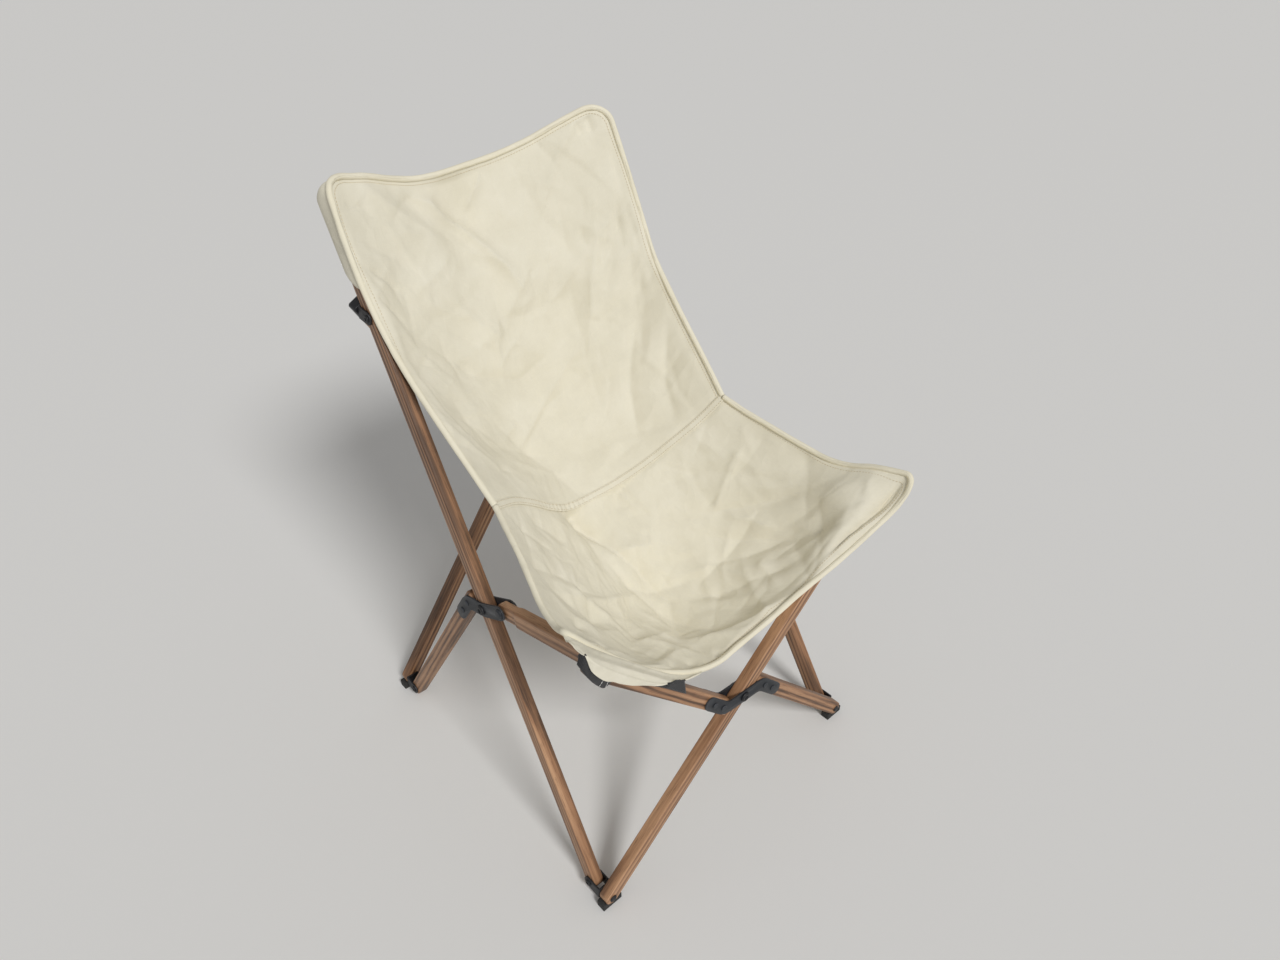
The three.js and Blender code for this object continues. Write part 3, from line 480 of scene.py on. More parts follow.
def batten_outline(half, rounds):
    """One long side with a quarter circle at both ends, then its mirror image back, with normals."""
    angles = np.linspace(0.0, math.pi / 2, END_STEPS)
    cosines, sines = np.cos(angles), np.sin(angles)
    start, end = rounds
    straight = np.linspace(half[0] - end, start - half[0], SIDE_STEPS)[1:-1]
    level = np.full(len(straight), half[1])
    x = np.concatenate([half[0] - end + end * cosines, straight, start - half[0] - start * sines])
    y = np.concatenate([half[1] - end + end * sines, level, half[1] - start + start * cosines])
    normal_x = np.concatenate([cosines, np.zeros(len(straight)), -sines])
    normal_y = np.concatenate([sines, np.ones(len(straight)), cosines])
    side = np.stack([x, y], axis=1)
    normal = np.stack([normal_x, normal_y], axis=1)
    mirror = np.array([1.0, -1.0])
    return np.concatenate([side, side[::-1] * mirror]), np.concatenate([normal, normal[::-1] * mirror])


def batten_points(half, rounds, root_ends, root_share):
    """The outline at heights through the thickness, drawn in at each face and thinner at a root."""
    outline, normals = batten_outline(half, rounds)
    angles = np.linspace(0.0, math.pi / 2, EDGE_STEPS)
    inset = EASED_EDGE * (1 - np.cos(angles))
    rise = half[2] - EASED_EDGE * (1 - np.sin(angles))
    insets = np.concatenate([inset[::-1], inset])
    heights = np.concatenate([-rise[::-1], rise])
    flat = outline[None] - insets[:, None, None] * normals[None]
    thin = np.ones(flat.shape[:2])
    for end in root_ends:
        near = ramp(end * flat[..., 0], half[0] - ROOT_LENGTH - ROOT_TAPER, half[0] - ROOT_LENGTH)
        thin = thin - (1 - root_share) * near
    return np.concatenate([flat, (heights[:, None] * thin)[..., None]], axis=2)


def batten_piece(name, points, turn, middle, material):
    """A closed mesh of the batten's rings, with a strip of quads over both of its flat faces."""
    rings, count = points.shape[:2]
    cap = np.arange(count // 2 - 1)
    low = np.stack([cap, count - 1 - cap, count - 2 - cap, cap + 1], axis=1)
    high = low[:, ::-1] + (rings - 1) * count
    faces = np.concatenate([grid_quads(rings, count, wrap=True), low, high])
    return new_piece(name, points.reshape(-1, 3) @ turn + middle, faces, material)


def make_stick(node, seed):
    """A batten on the node's own directions, with its lengthwise coordinates kept as grain."""
    turn = stick_frame(node)
    local, middle, half = local_points(node, turn)
    near_end = [end * local[:, 0] > half[0] - END_SLICE for end in (-1, 1)]
    width_at = [np.abs(local[near, 1]).max() for near in near_end]
    depth_at = [np.abs(local[near, 2]).max() for near in near_end]
    full_round = half[1] - ROUND_SPARE
    rounds = [full_round if width < ROUND_LIMIT * half[1] else STUB_ROUND for width in width_at]
    root_ends = [end for end, depth in zip((-1, 1), depth_at) if depth < ROOT_LIMIT * half[2]]
    points = batten_points(half, rounds, root_ends, min(depth_at) / half[2])
    stick = batten_piece(node + "_wood", points, turn, middle, walnut)
    grain = points.reshape(-1, 3) + seed * GRAIN_SHIFT
    layer = stick.data.attributes.new("grain", "FLOAT_VECTOR", "POINT")
    layer.data.foreach_set("vector", grain.astype(np.float32).ravel())
    return ride_as(stick, body_of[node], "wood", node)


stick_nodes = sorted(node for node, slot in slot_of.items() if slot == "wood")
sticks = [make_stick(node, seed) for seed, node in enumerate(stick_nodes)]
print("sticks:", len(sticks))

# %% [markdown]
# ## Caps on the rear cross
# The upper ends of the rear cross sit in thin black steel caps, which meet the brackets of the back poles.
# A cap is a short batten over the end of its stick, larger than the stick by the thickness of the sheet.

# %% End caps
CAP_SHEET = 0.4 * MM
CAP_REACH = 31.0 * MM
CAP_ROUND = 4.0 * MM


def make_cap(node):
    """A batten as long as the cap, a sheet larger than the stick, over the higher end of the stick."""
    turn = stick_frame(node)
    _, middle, half = local_points(node, turn)
    size = half + CAP_SHEET
    size[0] = CAP_REACH / 2
    up_end = turn[0] * np.sign(turn[0, 2])
    points = batten_points(size, (CAP_ROUND, CAP_ROUND), [], 1.0)
    place = middle + up_end * (half[0] + CAP_SHEET - size[0])
    cap = batten_piece(node + "_cap", points, turn, place, black_steel)
    return ride_as(cap, body_of[node], "steel")


caps = [make_cap(node) for node in ("rear_pole", "rear_upper_bar")]
print("caps:", len(caps))

# %% [markdown]
# ## Brackets, plates and pads
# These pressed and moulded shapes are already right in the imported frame. A copy is merged, its flat faces are
# joined, and a small bevel rounds every edge, because a perfectly sharp edge never catches the light.

# %% Eased copies
MERGE_DISTANCE = 0.01 * MM
FLAT_ANGLE = math.radians(1.0)
EDGE_ANGLE = math.radians(32.0)
PLATE_EDGE = 0.45 * MM
BRACKET_EDGE = 0.5 * MM
PAD_EDGE = 0.9 * MM


def eased_copy(node, edge, material):
    """A merged copy of a node with its flat faces joined and its edges rounded by a bevel."""
    mesh = nodes[node].data.copy()
    mesh.transform(nodes[node].matrix_world)
    form = bmesh.new()
    form.from_mesh(mesh)
    bmesh.ops.remove_doubles(form, verts=form.verts, dist=MERGE_DISTANCE)
    bmesh.ops.dissolve_limit(form, angle_limit=FLAT_ANGLE, verts=form.verts, edges=form.edges)
    form.to_mesh(mesh)
    form.free()
    mesh.materials.clear()
    mesh.materials.append(material)
    mesh.polygons.foreach_set("use_smooth", np.ones(len(mesh.polygons), bool))
    piece = bpy.data.objects.new(node + "_eased", mesh)
    bpy.context.scene.collection.objects.link(piece)
    rounding = piece.modifiers.new("rounding", "BEVEL")
    rounding.width = edge
    rounding.segments = 2
    rounding.limit_method = "ANGLE"
    rounding.angle_limit = EDGE_ANGLE
    rounding.harden_normals = True
    return ride_as(piece, body_of[node], slot_of[node], node)


for node in sorted(slot_of):
    if "_plate_" in node:
        eased_copy(node, PLATE_EDGE, steel)
    elif node.endswith("bracket"):
        eased_copy(node, BRACKET_EDGE, black_steel)
    elif node.endswith("pad"):
        eased_copy(node, PAD_EDGE, rubber)

# %% [markdown]
# ## Pins and bolts
# Every pivot is a turned pin with a low domed head and a socket for the key. A profile of radius against
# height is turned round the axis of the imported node.

# %% Turned pins
TURN_STEPS = 36
UPRIGHT = 0.9
DOME_STEPS = 7
DOME_SHARES = (0.62, 0.38)
DOME_FALL = 0.8
SOCKET_DEPTH = 0.45
SOCKET_FLOOR = 0.40
SOCKET_RIM = 0.44
SOCKET_EASE = 0.02 * MM
HEAD_FOOT = 0.985
SHANK_SHARE = 0.55
HEAD_HEIGHTS = {"pivot": 3.0 * MM, "bolt": 2.2 * MM, "pin": 1.8 * MM}


def turned_points(profile, middle, axis):
    """Radius and height of the profile, carried round the axis through the middle."""
    angles = np.linspace(0.0, 2 * math.pi, TURN_STEPS, endpoint=False)
    aside = UP if abs(axis[2]) < UPRIGHT else np.array([1.0, 0.0, 0.0])
    side = unit(np.cross(axis, aside))
    ring = np.cos(angles)[:, None] * side + np.sin(angles)[:, None] * np.cross(axis, side)
    return middle + profile[:, :1, None] * ring[None] + profile[:, 1:, None] * axis


def pin_profile(head, half, head_height):
    """From the socket of one head, over its dome, along the shank, to the socket of the other."""
    turn = np.linspace(0.0, math.pi / 2, DOME_STEPS)
    dome_radius = head * (DOME_SHARES[0] + DOME_SHARES[1] * np.sin(turn))
    dome_height = half - head_height * (1 - np.cos(turn)) * DOME_FALL
    bottom = half - SOCKET_DEPTH * head_height
    socket = [[0.0, bottom], [SOCKET_FLOOR * head, bottom], [SOCKET_RIM * head, half - SOCKET_EASE]]
    foot = [[head * HEAD_FOOT, half - head_height], [head * SHANK_SHARE, half - head_height]]
    top = np.concatenate([socket, np.stack([dome_radius, dome_height], axis=1), foot])
    return np.concatenate([top, top[::-1] * np.array([1.0, -1.0])])


def pin_axis(node):
    """A turned shape's faces look alike along two directions, so its axis is the direction that differs."""
    turn, shares = face_frame(node)
    return turn if shares[1] - shares[0] > shares[2] - shares[1] else turn[[2, 1, 0]]


def make_pin(node, material):
    """A turned pin on the axis of its node, with the head and length of that node."""
    turn = pin_axis(node)
    _, middle, half = local_points(node, turn)
    head_height = next(height for kind, height in HEAD_HEIGHTS.items() if kind in node)
    points = turned_points(pin_profile(half[1], half[0], head_height), middle, turn[0])
    faces = grid_quads(*points.shape[:2], wrap=True)
    pin = new_piece(node + "_turned", points, faces, material)
    form = bmesh.new()
    form.from_mesh(pin.data)
    bmesh.ops.remove_doubles(form, verts=form.verts, dist=MERGE_DISTANCE)
    bmesh.ops.recalc_face_normals(form, faces=form.faces)
    form.to_mesh(pin.data)
    form.free()
    return ride_as(pin, body_of[node], slot_of[node], node)


pins = [make_pin(node, black_steel) for node in sorted(slot_of) if node.endswith(("_pin", "_bolt"))]
print("turned pins:", len(pins))

# %% [markdown]
# ## The sling's net
# The canvas hangs from four stick ends, so its shape is a net: two side edges, a middle line that sags, and
# three lines across, at the top, at the lumbar seam and at the front. A row bows from the middle to the sides
# with the square of the share across, and is then moved on to the cross lines near both of its ends.
# Points are millimetres, and the two sides differ because the real cloth is pulled unevenly.

# %% Lines of the net
RIGHT_BACK = [(-216, 247, 877), (-221, 216, 808), (-221, 181, 737), (-217, 147, 681),
              (-214, 117, 647), (-210, 78, 611), (-204, 28, 565), (-200, -17, 527)]
LEFT_BACK = [(214, 248, 888), (221, 216, 808), (221, 181, 737), (217, 147, 681),
             (215, 117, 647), (210, 78, 611), (205, 28, 565), (200, -17, 522)]
MIDDLE_BACK = [(0, 301, 827), (0, 245, 710), (0, 209, 600), (0, 137, 484), (0, 43, 410)]
RIGHT_SEAT = [(-200, -17, 527), (-210, -56, 516), (-219, -92, 505), (-229, -124, 496),
              (-238, -155, 485), (-249, -197, 488), (-259, -231, 509)]
LEFT_SEAT = [(200, -17, 522), (209, -53, 509), (218, -88, 499), (228, -121, 488), (237, -155, 479),
             (243, -186, 474), (250, -218, 477), (257, -249, 487), (265, -278, 491), (274, -307, 493)]
MIDDLE_SEAT = [(0, 43, 410), (0, -30, 345), (0, -114, 290), (0, -186, 295), (0, -247, 319)]
TOP = [(-216, 247, 877), (-192, 257, 864), (-153, 273, 852), (-111, 286, 837), (-76, 294, 828),
       (-45, 299, 825), (0, 301, 827), (56, 298, 833), (106, 288, 846), (148, 275, 863),
       (180, 263, 876), (214, 248, 888)]
SEAM = [(-200, -17, 527), (-150, 12, 494), (-116, 23, 466), (-85, 32, 438), (-57, 38, 419), (0, 43, 410),
        (50, 39, 416), (98, 29, 434), (135, 16, 458), (171, 0, 487), (200, -17, 522)]
FRONT = [(-259, -231, 509), (-236, -234, 479), (-205, -237, 440), (-162, -240, 392), (-113, -243, 350),
         (-74, -246, 327), (-35, -248, 317), (0, -247, 319), (54, -255, 339), (101, -264, 363),
         (152, -276, 389), (208, -288, 421), (250, -298, 451), (274, -307, 493)]
LINE_POINTS = 600


def cross_line(points):
    """A line across the cloth by the share of half width: -1 is its right end and 1 its left end."""
    line = smooth_curve(points)(np.linspace(0.0, 1.0, LINE_POINTS))

    def at(u):
        x = np.where(u < 0, -u * line[0, 0], u * line[-1, 0])
        y, z = (np.interp(x, line[:, 0], line[:, column]) for column in (1, 2))
        return np.stack([x, y, z], axis=-1)

    return at


def cloth_net(right, left, middle, start, end):
    """The bowed surface of (u, v), moved on to the start line at v = 0 and the end line at v = 1."""
    right_edge, left_edge, middle_line = smooth_curve(right), smooth_curve(left), smooth_curve(middle)
    start_line, end_line = cross_line(start), cross_line(end)

    def bowed(u, v):
        side = np.where((u < 0)[..., None], right_edge(v), left_edge(v))
        centre = middle_line(v)
        share = np.abs(u)[..., None]
        points = centre + (side - centre) * share**2
        points[..., 0] = share[..., 0] * side[..., 0]
        return points

    def at(u, v):
        first = start_line(u) - bowed(u, np.zeros_like(v))
        last = end_line(u) - bowed(u, np.ones_like(v))
        return bowed(u, v) + first * ((1 - v) ** 3)[..., None] + last * (v**3)[..., None]

    return at


back_net = cloth_net(RIGHT_BACK, LEFT_BACK, MIDDLE_BACK, TOP, SEAM)
seat_net = cloth_net(RIGHT_SEAT[::-1], LEFT_SEAT[::-1], MIDDLE_SEAT[::-1], FRONT, SEAM)
print("both nets run from a free edge at v = 0 to the lumbar seam at v = 1")

# %% [markdown]
# ## Folds in the cloth
# Cloth that hangs from its corners pulls into valleys that run in from them, and handling leaves creases.
# A cloth simulation could find some folds, but not the ones in the photograph, so each fold is a line on the
# net with a depth and a width in millimetres, and each dent is a place with a depth and a radius.

# %% Folds
BACK_FOLDS = [
    ([(-0.47, 0.03), (-0.29, 0.07), (-0.11, 0.15), (0.04, 0.27), (0.16, 0.38)], -6.6, 12.0),
    ([(0.12, 0.03), (0.04, 0.07), (-0.04, 0.11)], -3.0, 6.0),
    ([(-0.70, 0.46), (-0.40, 0.56), (-0.05, 0.60), (0.30, 0.55)], 2.2, 9.0),
    ([(-0.30, 0.80), (0.05, 0.70), (0.45, 0.66)], 2.4, 9.0),
    ([(0.78, 0.62), (0.60, 0.78), (0.50, 0.92)], 2.8, 10.0),
    ([(0.92, 0.70), (0.78, 0.84), (0.74, 0.95)], 2.6, 9.0),
    ([(-0.92, 0.25), (-0.82, 0.28), (-0.74, 0.31)], 2.0, 6.0),
    ([(-0.97, 0.34), (-0.86, 0.37)], 1.5, 6.0),
    ([(-0.92, 0.08), (-0.79, 0.08), (-0.75, 0.10)], 1.5, 6.0),
    ([(0.79, 0.02), (0.81, 0.06)], 2.5, 6.0),
    ([(0.87, 0.02), (0.87, 0.07)], 2.5, 6.0),
    ([(0.95, 0.14), (0.92, 0.29), (0.94, 0.45)], 2.5, 14.0),
    ([(0.05, 0.98), (0.23, 0.94), (0.48, 0.93)], 2.0, 10.0),
]
BACK_DENTS = [(-0.13, 0.125, 28.0, 52.0), (-0.40, 0.06, 8.0, 20.0)]
SEAT_FOLDS = [
    ([(-0.29, 0.98), (-0.12, 0.83), (0.01, 0.62)], 4.0, 10.0),
    ([(0.97, 0.30), (0.86, 0.41), (0.70, 0.53), (0.49, 0.68)], 4.5, 14.0),
    ([(0.78, 0.05), (0.72, 0.18), (0.61, 0.39), (0.41, 0.63)], 3.5, 13.0),
    ([(0.86, 0.76), (0.78, 0.73), (0.55, 0.62)], -1.5, 6.0),
    ([(0.985, 0.045), (0.90, 0.050), (0.78, 0.048), (0.60, 0.035)], 6.4, 5.2),
    ([(0.98, 0.18), (0.92, 0.13)], -1.5, 5.0),
    ([(0.56, 0.15), (0.35, 0.28), (0.15, 0.39)], 2.5, 12.0),
    ([(-0.17, 0.62), (-0.01, 0.53), (0.23, 0.46)], 2.0, 9.0),
    ([(-0.57, 0.62), (-0.55, 0.50), (-0.57, 0.39)], 2.0, 9.0),
    ([(0.01, 0.62), (0.06, 0.45), (-0.11, 0.25)], 1.8, 9.0),
]
SEAT_DENTS = [(-0.77, 0.35, 4.0, 9.0), (-0.73, 0.20, 4.0, 9.0), (-0.39, 0.06, 4.0, 9.0),
              (-0.26, 0.06, 4.0, 9.0), (-0.09, 0.035, 4.0, 9.0)]
print("folds drawn:", len(BACK_FOLDS) + len(SEAT_FOLDS))

# %% [markdown]
# The relief adds these up with seeded creases of two kinds, small and broad, and with a few slow waves. It
# ends short of the border, where a shallow gutter follows the piping.

# %% Relief of the cloth
CREASE_KINDS = [(110, (14.0, 55.0), (0.8, 2.3), (4.0, 9.0)), (40, (40.0, 120.0), (3.0, 6.5), (12.0, 24.0))]
CREASE_LOW = (-0.92, 0.06)
CREASE_HIGH = (0.92, 0.94)
CREASE_BEND = 0.16
CREASE_POWER = 1.15
SLOW_WAVES = 7
WAVE_DEPTH = 0.35
WAVE_RATE = 50.0
FOLD_GAIN = 2.3
FOLD_SPREAD = 1.25
FOLD_FADE = (-0.12, 0.25)
FLAT_EDGE = (2.0 * MM, 14.0 * MM)
GUTTER_DEPTH = 0.9
GUTTER_INSET = 6.5 * MM
GUTTER_WIDTH = 3.0 * MM


def line_distance(places, line):
    """Distance of places from a line of points, and the share along it of the nearest point."""
    starts, ends = line[:-1], line[1:]
    steps = ends - starts
    lengths = np.linalg.norm(steps, axis=1)
    before = np.concatenate([[0.0], np.cumsum(lengths)[:-1]]) / lengths.sum()
    offset = places[:, None] - starts
    share = np.clip((offset * steps).sum(-1) / lengths**2, 0.0, 1.0)
    gaps = np.linalg.norm(offset - share[..., None] * steps, axis=-1)
    nearest = gaps.argmin(axis=1)[:, None]
    along = np.take_along_axis(before + share * lengths / lengths.sum(), nearest, axis=1)[:, 0]
    return np.take_along_axis(gaps, nearest, axis=1)[:, 0], along


def seeded_creases(size, seed, count, reaches, depths, widths):
    """Short bent creases at seeded places and angles, in metres on the flat cloth, half of them raised."""
    random = np.random.default_rng(seed + count)
    middles = random.uniform(CREASE_LOW, CREASE_HIGH, (count, 2)) * size
    angles = random.uniform(0.0, math.pi, count)
    reach = random.uniform(*reaches, count)[:, None] * MM
    bend = random.uniform(-CREASE_BEND, CREASE_BEND, count)[:, None]
    way = np.stack([np.cos(angles), np.sin(angles)], axis=1)
    side = np.stack([-way[:, 1], way[:, 0]], axis=1)
    lines = np.stack([middles - reach * way, middles + bend * reach * side, middles + reach * way], axis=1)
    depth = random.uniform(*depths, count) * random.choice([-1.0, 1.0], count)
    return list(zip(lines, depth, random.uniform(*widths, count)))


def cloth_relief(size, folds, dents, seed):
    """Depth below the net: bells across folds that fade at their ends, round bells for dents, and waves."""
    lines = [(np.array(line) * size, FOLD_GAIN * depth, FOLD_SPREAD * width) for line, depth, width in folds]
    for kind in CREASE_KINDS:
        lines += seeded_creases(size, seed, *kind)
    random = np.random.default_rng(seed + 1)
    wave_low, wave_high = (-WAVE_RATE, -WAVE_RATE, 0.0), (WAVE_RATE, WAVE_RATE, 2 * math.pi)
    waves = random.uniform(wave_low, wave_high, (SLOW_WAVES, 3))

    def at(u, v):
        places = np.stack([u.ravel(), v.ravel()], axis=1) * size
        depth = WAVE_DEPTH * np.cos(places @ waves[:, :2].T + waves[:, 2]).sum(axis=1)
        for line, deep, width in lines:
            gap, along = line_distance(places, line)
            fade = ramp(along, *FOLD_FADE) * ramp(1 - along, *FOLD_FADE)
            depth += deep * np.exp(-((gap / (width * MM)) ** CREASE_POWER)) * fade
        for dent_u, dent_v, deep, radius in dents:
            gap = np.linalg.norm(places - np.array([dent_u, dent_v]) * size, axis=1)
            depth += deep * np.exp(-((gap / (radius * MM)) ** 2))
        ends = np.minimum(places[:, 1], size[1] - places[:, 1])
        edge = np.minimum(size[0] - np.abs(places[:, 0]), ends)
        gutter = GUTTER_DEPTH * np.exp(-(((edge - GUTTER_INSET) / GUTTER_WIDTH) ** 2))
        return (depth * ramp(edge, *FLAT_EDGE) + gutter).reshape(u.shape) * MM

    return at


print("creases seeded on each cloth:", sum(kind[0] for kind in CREASE_KINDS))

# %% [markdown]
# ## Cloth over the frame
# The stick ends lie in pockets behind the cloth, and the rails run close under its sides, so the cloth has
# to pass over them. Sticks are taken as boxes and hinges by their points, which give the least rise at each
# point of a coarse grid. The cloth then acts as a stretched membrane: every free point settles to a little
# less than the mean of its neighbours, and the border stays where it is sewn.

# %% Cloth over the frame
CLEARANCE = 2.8 * MM
MEMBRANE_STEP = 4.5 * MM
MEMBRANE_SPREAD = 0.994
MEMBRANE_ROUNDS = 500
SMOOTHING_ROUNDS = 5
NEAR_HINGE = 45.0 * MM
BOX_REACH = 12.0 * MM
BOX_SLOPE = 1.2
BACK_STICKS = ["right_back_pole", "left_back_pole"]
BACK_HINGES = ["right_back_bracket", "left_back_bracket", "right_back_pin", "left_back_pin"]
SEAT_STICKS = ["front_pole", "front_upper_bar", "right_seat_rail", "left_seat_rail"]
SEAT_HINGES = ["right_rail_bracket", "left_rail_bracket", "right_rail_pin", "left_rail_pin"]


def node_box(node):
    """Middle of a node, its three directions with the longest first, and half its size along each."""
    turn, _ = face_frame(node)
    _, middle, half = local_points(node, turn)
    order = half.argsort()[::-1]
    return middle, turn[order], half[order]


def lack_over_box(points, normals, box):
    """Height that cloth lacks above a box's top, along its normals, falling off steeply beside the box."""
    middle, turn, half = box
    offset = points - middle
    along = offset @ turn[0]
    radial = offset - along[..., None] * turn[0]
    height = (radial * normals).sum(-1)
    beside = np.sqrt(np.maximum((radial**2).sum(-1) - height**2, 0.0))
    lateral = unit(np.cross(np.broadcast_to(turn[0], normals.shape), normals))
    tall = np.abs(normals @ turn[1:].T) @ half[1:]
    broad = np.abs(lateral @ turn[1:].T) @ half[1:]
    away = np.maximum(beside - broad, 0.0) + np.maximum(np.abs(along) - half[0], 0.0)
    return np.where(away < BOX_REACH, tall + CLEARANCE - BOX_SLOPE * away - height, 0.0)


def lack_over_points(points, normals, places):
    """Height of the places above their nearest cloth points, kept as the greatest at each of those points."""
    flat, lifts = points.reshape(-1, 3), normals.reshape(-1, 3)
    gaps = np.linalg.norm(places[:, None] - flat[None], axis=-1)
    nearest = gaps.argmin(axis=1)
    height = ((places - flat[nearest]) * lifts[nearest]).sum(-1) + CLEARANCE
    lack = np.zeros(len(flat))
    np.maximum.at(lack, nearest, np.where(gaps.min(axis=1) < NEAR_HINGE, height, 0.0))
    return lack.reshape(points.shape[:2])


def neighbour_mean(grid):
    """Mean of the four neighbours of each inner point."""
    return (grid[2:, 1:-1] + grid[:-2, 1:-1] + grid[1:-1, 2:] + grid[1:-1, :-2]) / 4


def settled(lack):
    """The membrane's rise: at least the lack, otherwise a share of its neighbours' mean, then smoothed."""
    rise = np.zeros_like(lack)
    for _ in range(MEMBRANE_ROUNDS):
        rise[1:-1, 1:-1] = np.maximum(lack[1:-1, 1:-1], MEMBRANE_SPREAD * neighbour_mean(rise))
    for _ in range(SMOOTHING_ROUNDS):
        rise[1:-1, 1:-1] = (rise[1:-1, 1:-1] + neighbour_mean(rise)) / 2
    return rise


def between(grid, u, v):
    """Value of a grid over u from -1 to 1 and v from 0 to 1, blended from the four points around."""
    y = np.clip(v, 0.0, 1.0) * (grid.shape[0] - 1)
    x = (np.clip(u, -1.0, 1.0) + 1) / 2 * (grid.shape[1] - 1)
    i = np.minimum(y.astype(int), grid.shape[0] - 2)
    j = np.minimum(x.astype(int), grid.shape[1] - 2)
    y, x = y - i, x - j
    upper = grid[i, j] * (1 - x) + grid[i, j + 1] * x
    lower = grid[i + 1, j] * (1 - x) + grid[i + 1, j + 1] * x
    return upper * (1 - y) + lower * y


print("membrane grid step", MEMBRANE_STEP / MM, "mm")

# %% [markdown]
# The surface of a cloth is then its net, pushed down along the net's normal by the relief and lifted by the
# membrane. The panels, their piping, the seam and the pockets all ask it for points.

# %% Surfaces of the cloth
NUDGE = 1e-4
SIZE_POINTS = 200
SIZE_ROW = 0.04
BACK_SEED = 11
SEAT_SEED = 23


def cloth_surface(net, size, relief, sticks, hinges, facing):
    """Points and sitter-side normals at (u, v): the net, less its relief, plus the membrane's rise."""

    def free(u, v):
        across = net(u + NUDGE, v) - net(u - NUDGE, v)
        down = net(u, np.clip(v + NUDGE, 0, 1)) - net(u, np.clip(v - NUDGE, 0, 1))
        normal = facing * unit(np.cross(across, down))
        return net(u, v) - relief(u, v)[..., None] * normal, normal

    columns, rows = (size * np.array([2.0, 1.0]) / MEMBRANE_STEP).astype(int)
    grid_u, grid_v = np.meshgrid(np.linspace(-1.0, 1.0, columns), np.linspace(0.0, 1.0, rows))
    points, normals = free(grid_u, grid_v)
    lacks = [lack_over_box(points, normals, node_box(node)) for node in sticks]
    lacks += [lack_over_points(points, normals, node_points(node)) for node in hinges]
    rise = settled(np.max(lacks, axis=0))
    print("greatest rise over the frame", round(float(rise.max()) / MM, 1), "mm")

    def at(u, v):
        u, v = np.broadcast_arrays(np.asarray(u, float), np.asarray(v, float))
        points, normal = free(u, v)
        return points + between(rise, u, v)[..., None] * normal, normal

    return at


def net_size(net):
    """Half the width of the cloth beside its free corners, and its length down the middle, in metres."""
    shares = np.linspace(0.0, 1.0, SIZE_POINTS)
    row = net(shares, np.full(SIZE_POINTS, SIZE_ROW))
    column = net(np.zeros(SIZE_POINTS), shares)
    return np.array([np.linalg.norm(np.diff(line, axis=0), axis=1).sum() for line in (row, column)])


back_size, seat_size = net_size(back_net), net_size(seat_net)
back_relief = cloth_relief(back_size, BACK_FOLDS, BACK_DENTS, BACK_SEED)
seat_relief = cloth_relief(seat_size, SEAT_FOLDS, SEAT_DENTS, SEAT_SEED)
back_surface = cloth_surface(back_net, back_size, back_relief, BACK_STICKS, BACK_HINGES, -1)
seat_surface = cloth_surface(seat_net, seat_size, seat_relief, SEAT_STICKS, SEAT_HINGES, 1)

# %% [markdown]
# ## The two panels
# The sling is two pieces of canvas joined at the lumbar seam. Each is a grid on its surface with its free
# corners rounded, and a solidify modifier gives it thickness.

# %% Panels
CLOTH_THICKNESS = 1.4 * MM
PANEL_COLUMNS = 171
PANEL_ROWS = 150
CORNER_ROWS = 18
BACK_CORNER = 34.0 * MM
SEAT_CORNER = 18.0 * MM


def corner_share(depth, corner, half_width):
    """Share of the half width left at a depth below the free edge, where a quarter circle rounds it."""
    short = np.clip(corner - depth, 0.0, corner)
    return 1 - (corner - np.sqrt(corner**2 - short**2)) / half_width


def make_panel(name, body, node, surface, size, corner, facing):
    """The cloth's grid: rows close together in the rounded corner, columns as shares of the row's width."""
    turn = np.linspace(0.0, math.pi / 2, CORNER_ROWS)
    depth = np.concatenate([corner * (1 - np.cos(turn)), np.linspace(corner, size[1], PANEL_ROWS)[1:]])
    v = np.repeat((depth / size[1])[:, None], PANEL_COLUMNS, axis=1)
    u = corner_share(depth, corner, size[0])[:, None] * np.linspace(-1.0, 1.0, PANEL_COLUMNS)
    points, _ = surface(u, v)
    faces = grid_quads(*points.shape[:2])
    panel = new_piece(name, points, faces if facing > 0 else faces[:, ::-1], canvas)
    set_uv(panel, np.stack([u * size[0], v * size[1]], axis=-1))
    solid = panel.modifiers.new("thickness", "SOLIDIFY")
    solid.thickness = CLOTH_THICKNESS
    solid.offset = -1.0
    ride_as(panel, body, "canvas", node)
    return panel, points


back_panel, back_points = make_panel(
    "back_cloth", "sling_back", "sling_back_panel", back_surface, back_size, BACK_CORNER, -1)
seat_panel, seat_points = make_panel(
    "seat_cloth", "sling_seat", "sling_seat_panel", seat_surface, seat_size, SEAT_CORNER, 1)

# %% [markdown]
# ## Bound edges
# A round cord covered in cream tape runs along the free edges of both panels. A circle is carried along the
# border of the cloth, standing on the cloth's own normal, and its radius wavers a little as sewn tape does.

# %% Bindings
BINDING_RADIUS = 4.0 * MM
BINDING_STEPS = 14
BINDING_STEP = 3.0 * MM
WAVER_SPAN = 9
WAVER_SHARE = 0.05
SEAM_GAP = 1.0 * MM
RATE_SPAN = 0.02
SIDE_POINTS = 300
BEND_POINTS = 40


def even_run(line, step):
    """Length run along a line at each of its points, and even lengths that are about a step apart."""
    run = np.concatenate([[0.0], np.cumsum(np.linalg.norm(np.diff(line, axis=0), axis=1))])
    return run, np.linspace(0.0, run[-1], int(run[-1] / step) + 1)


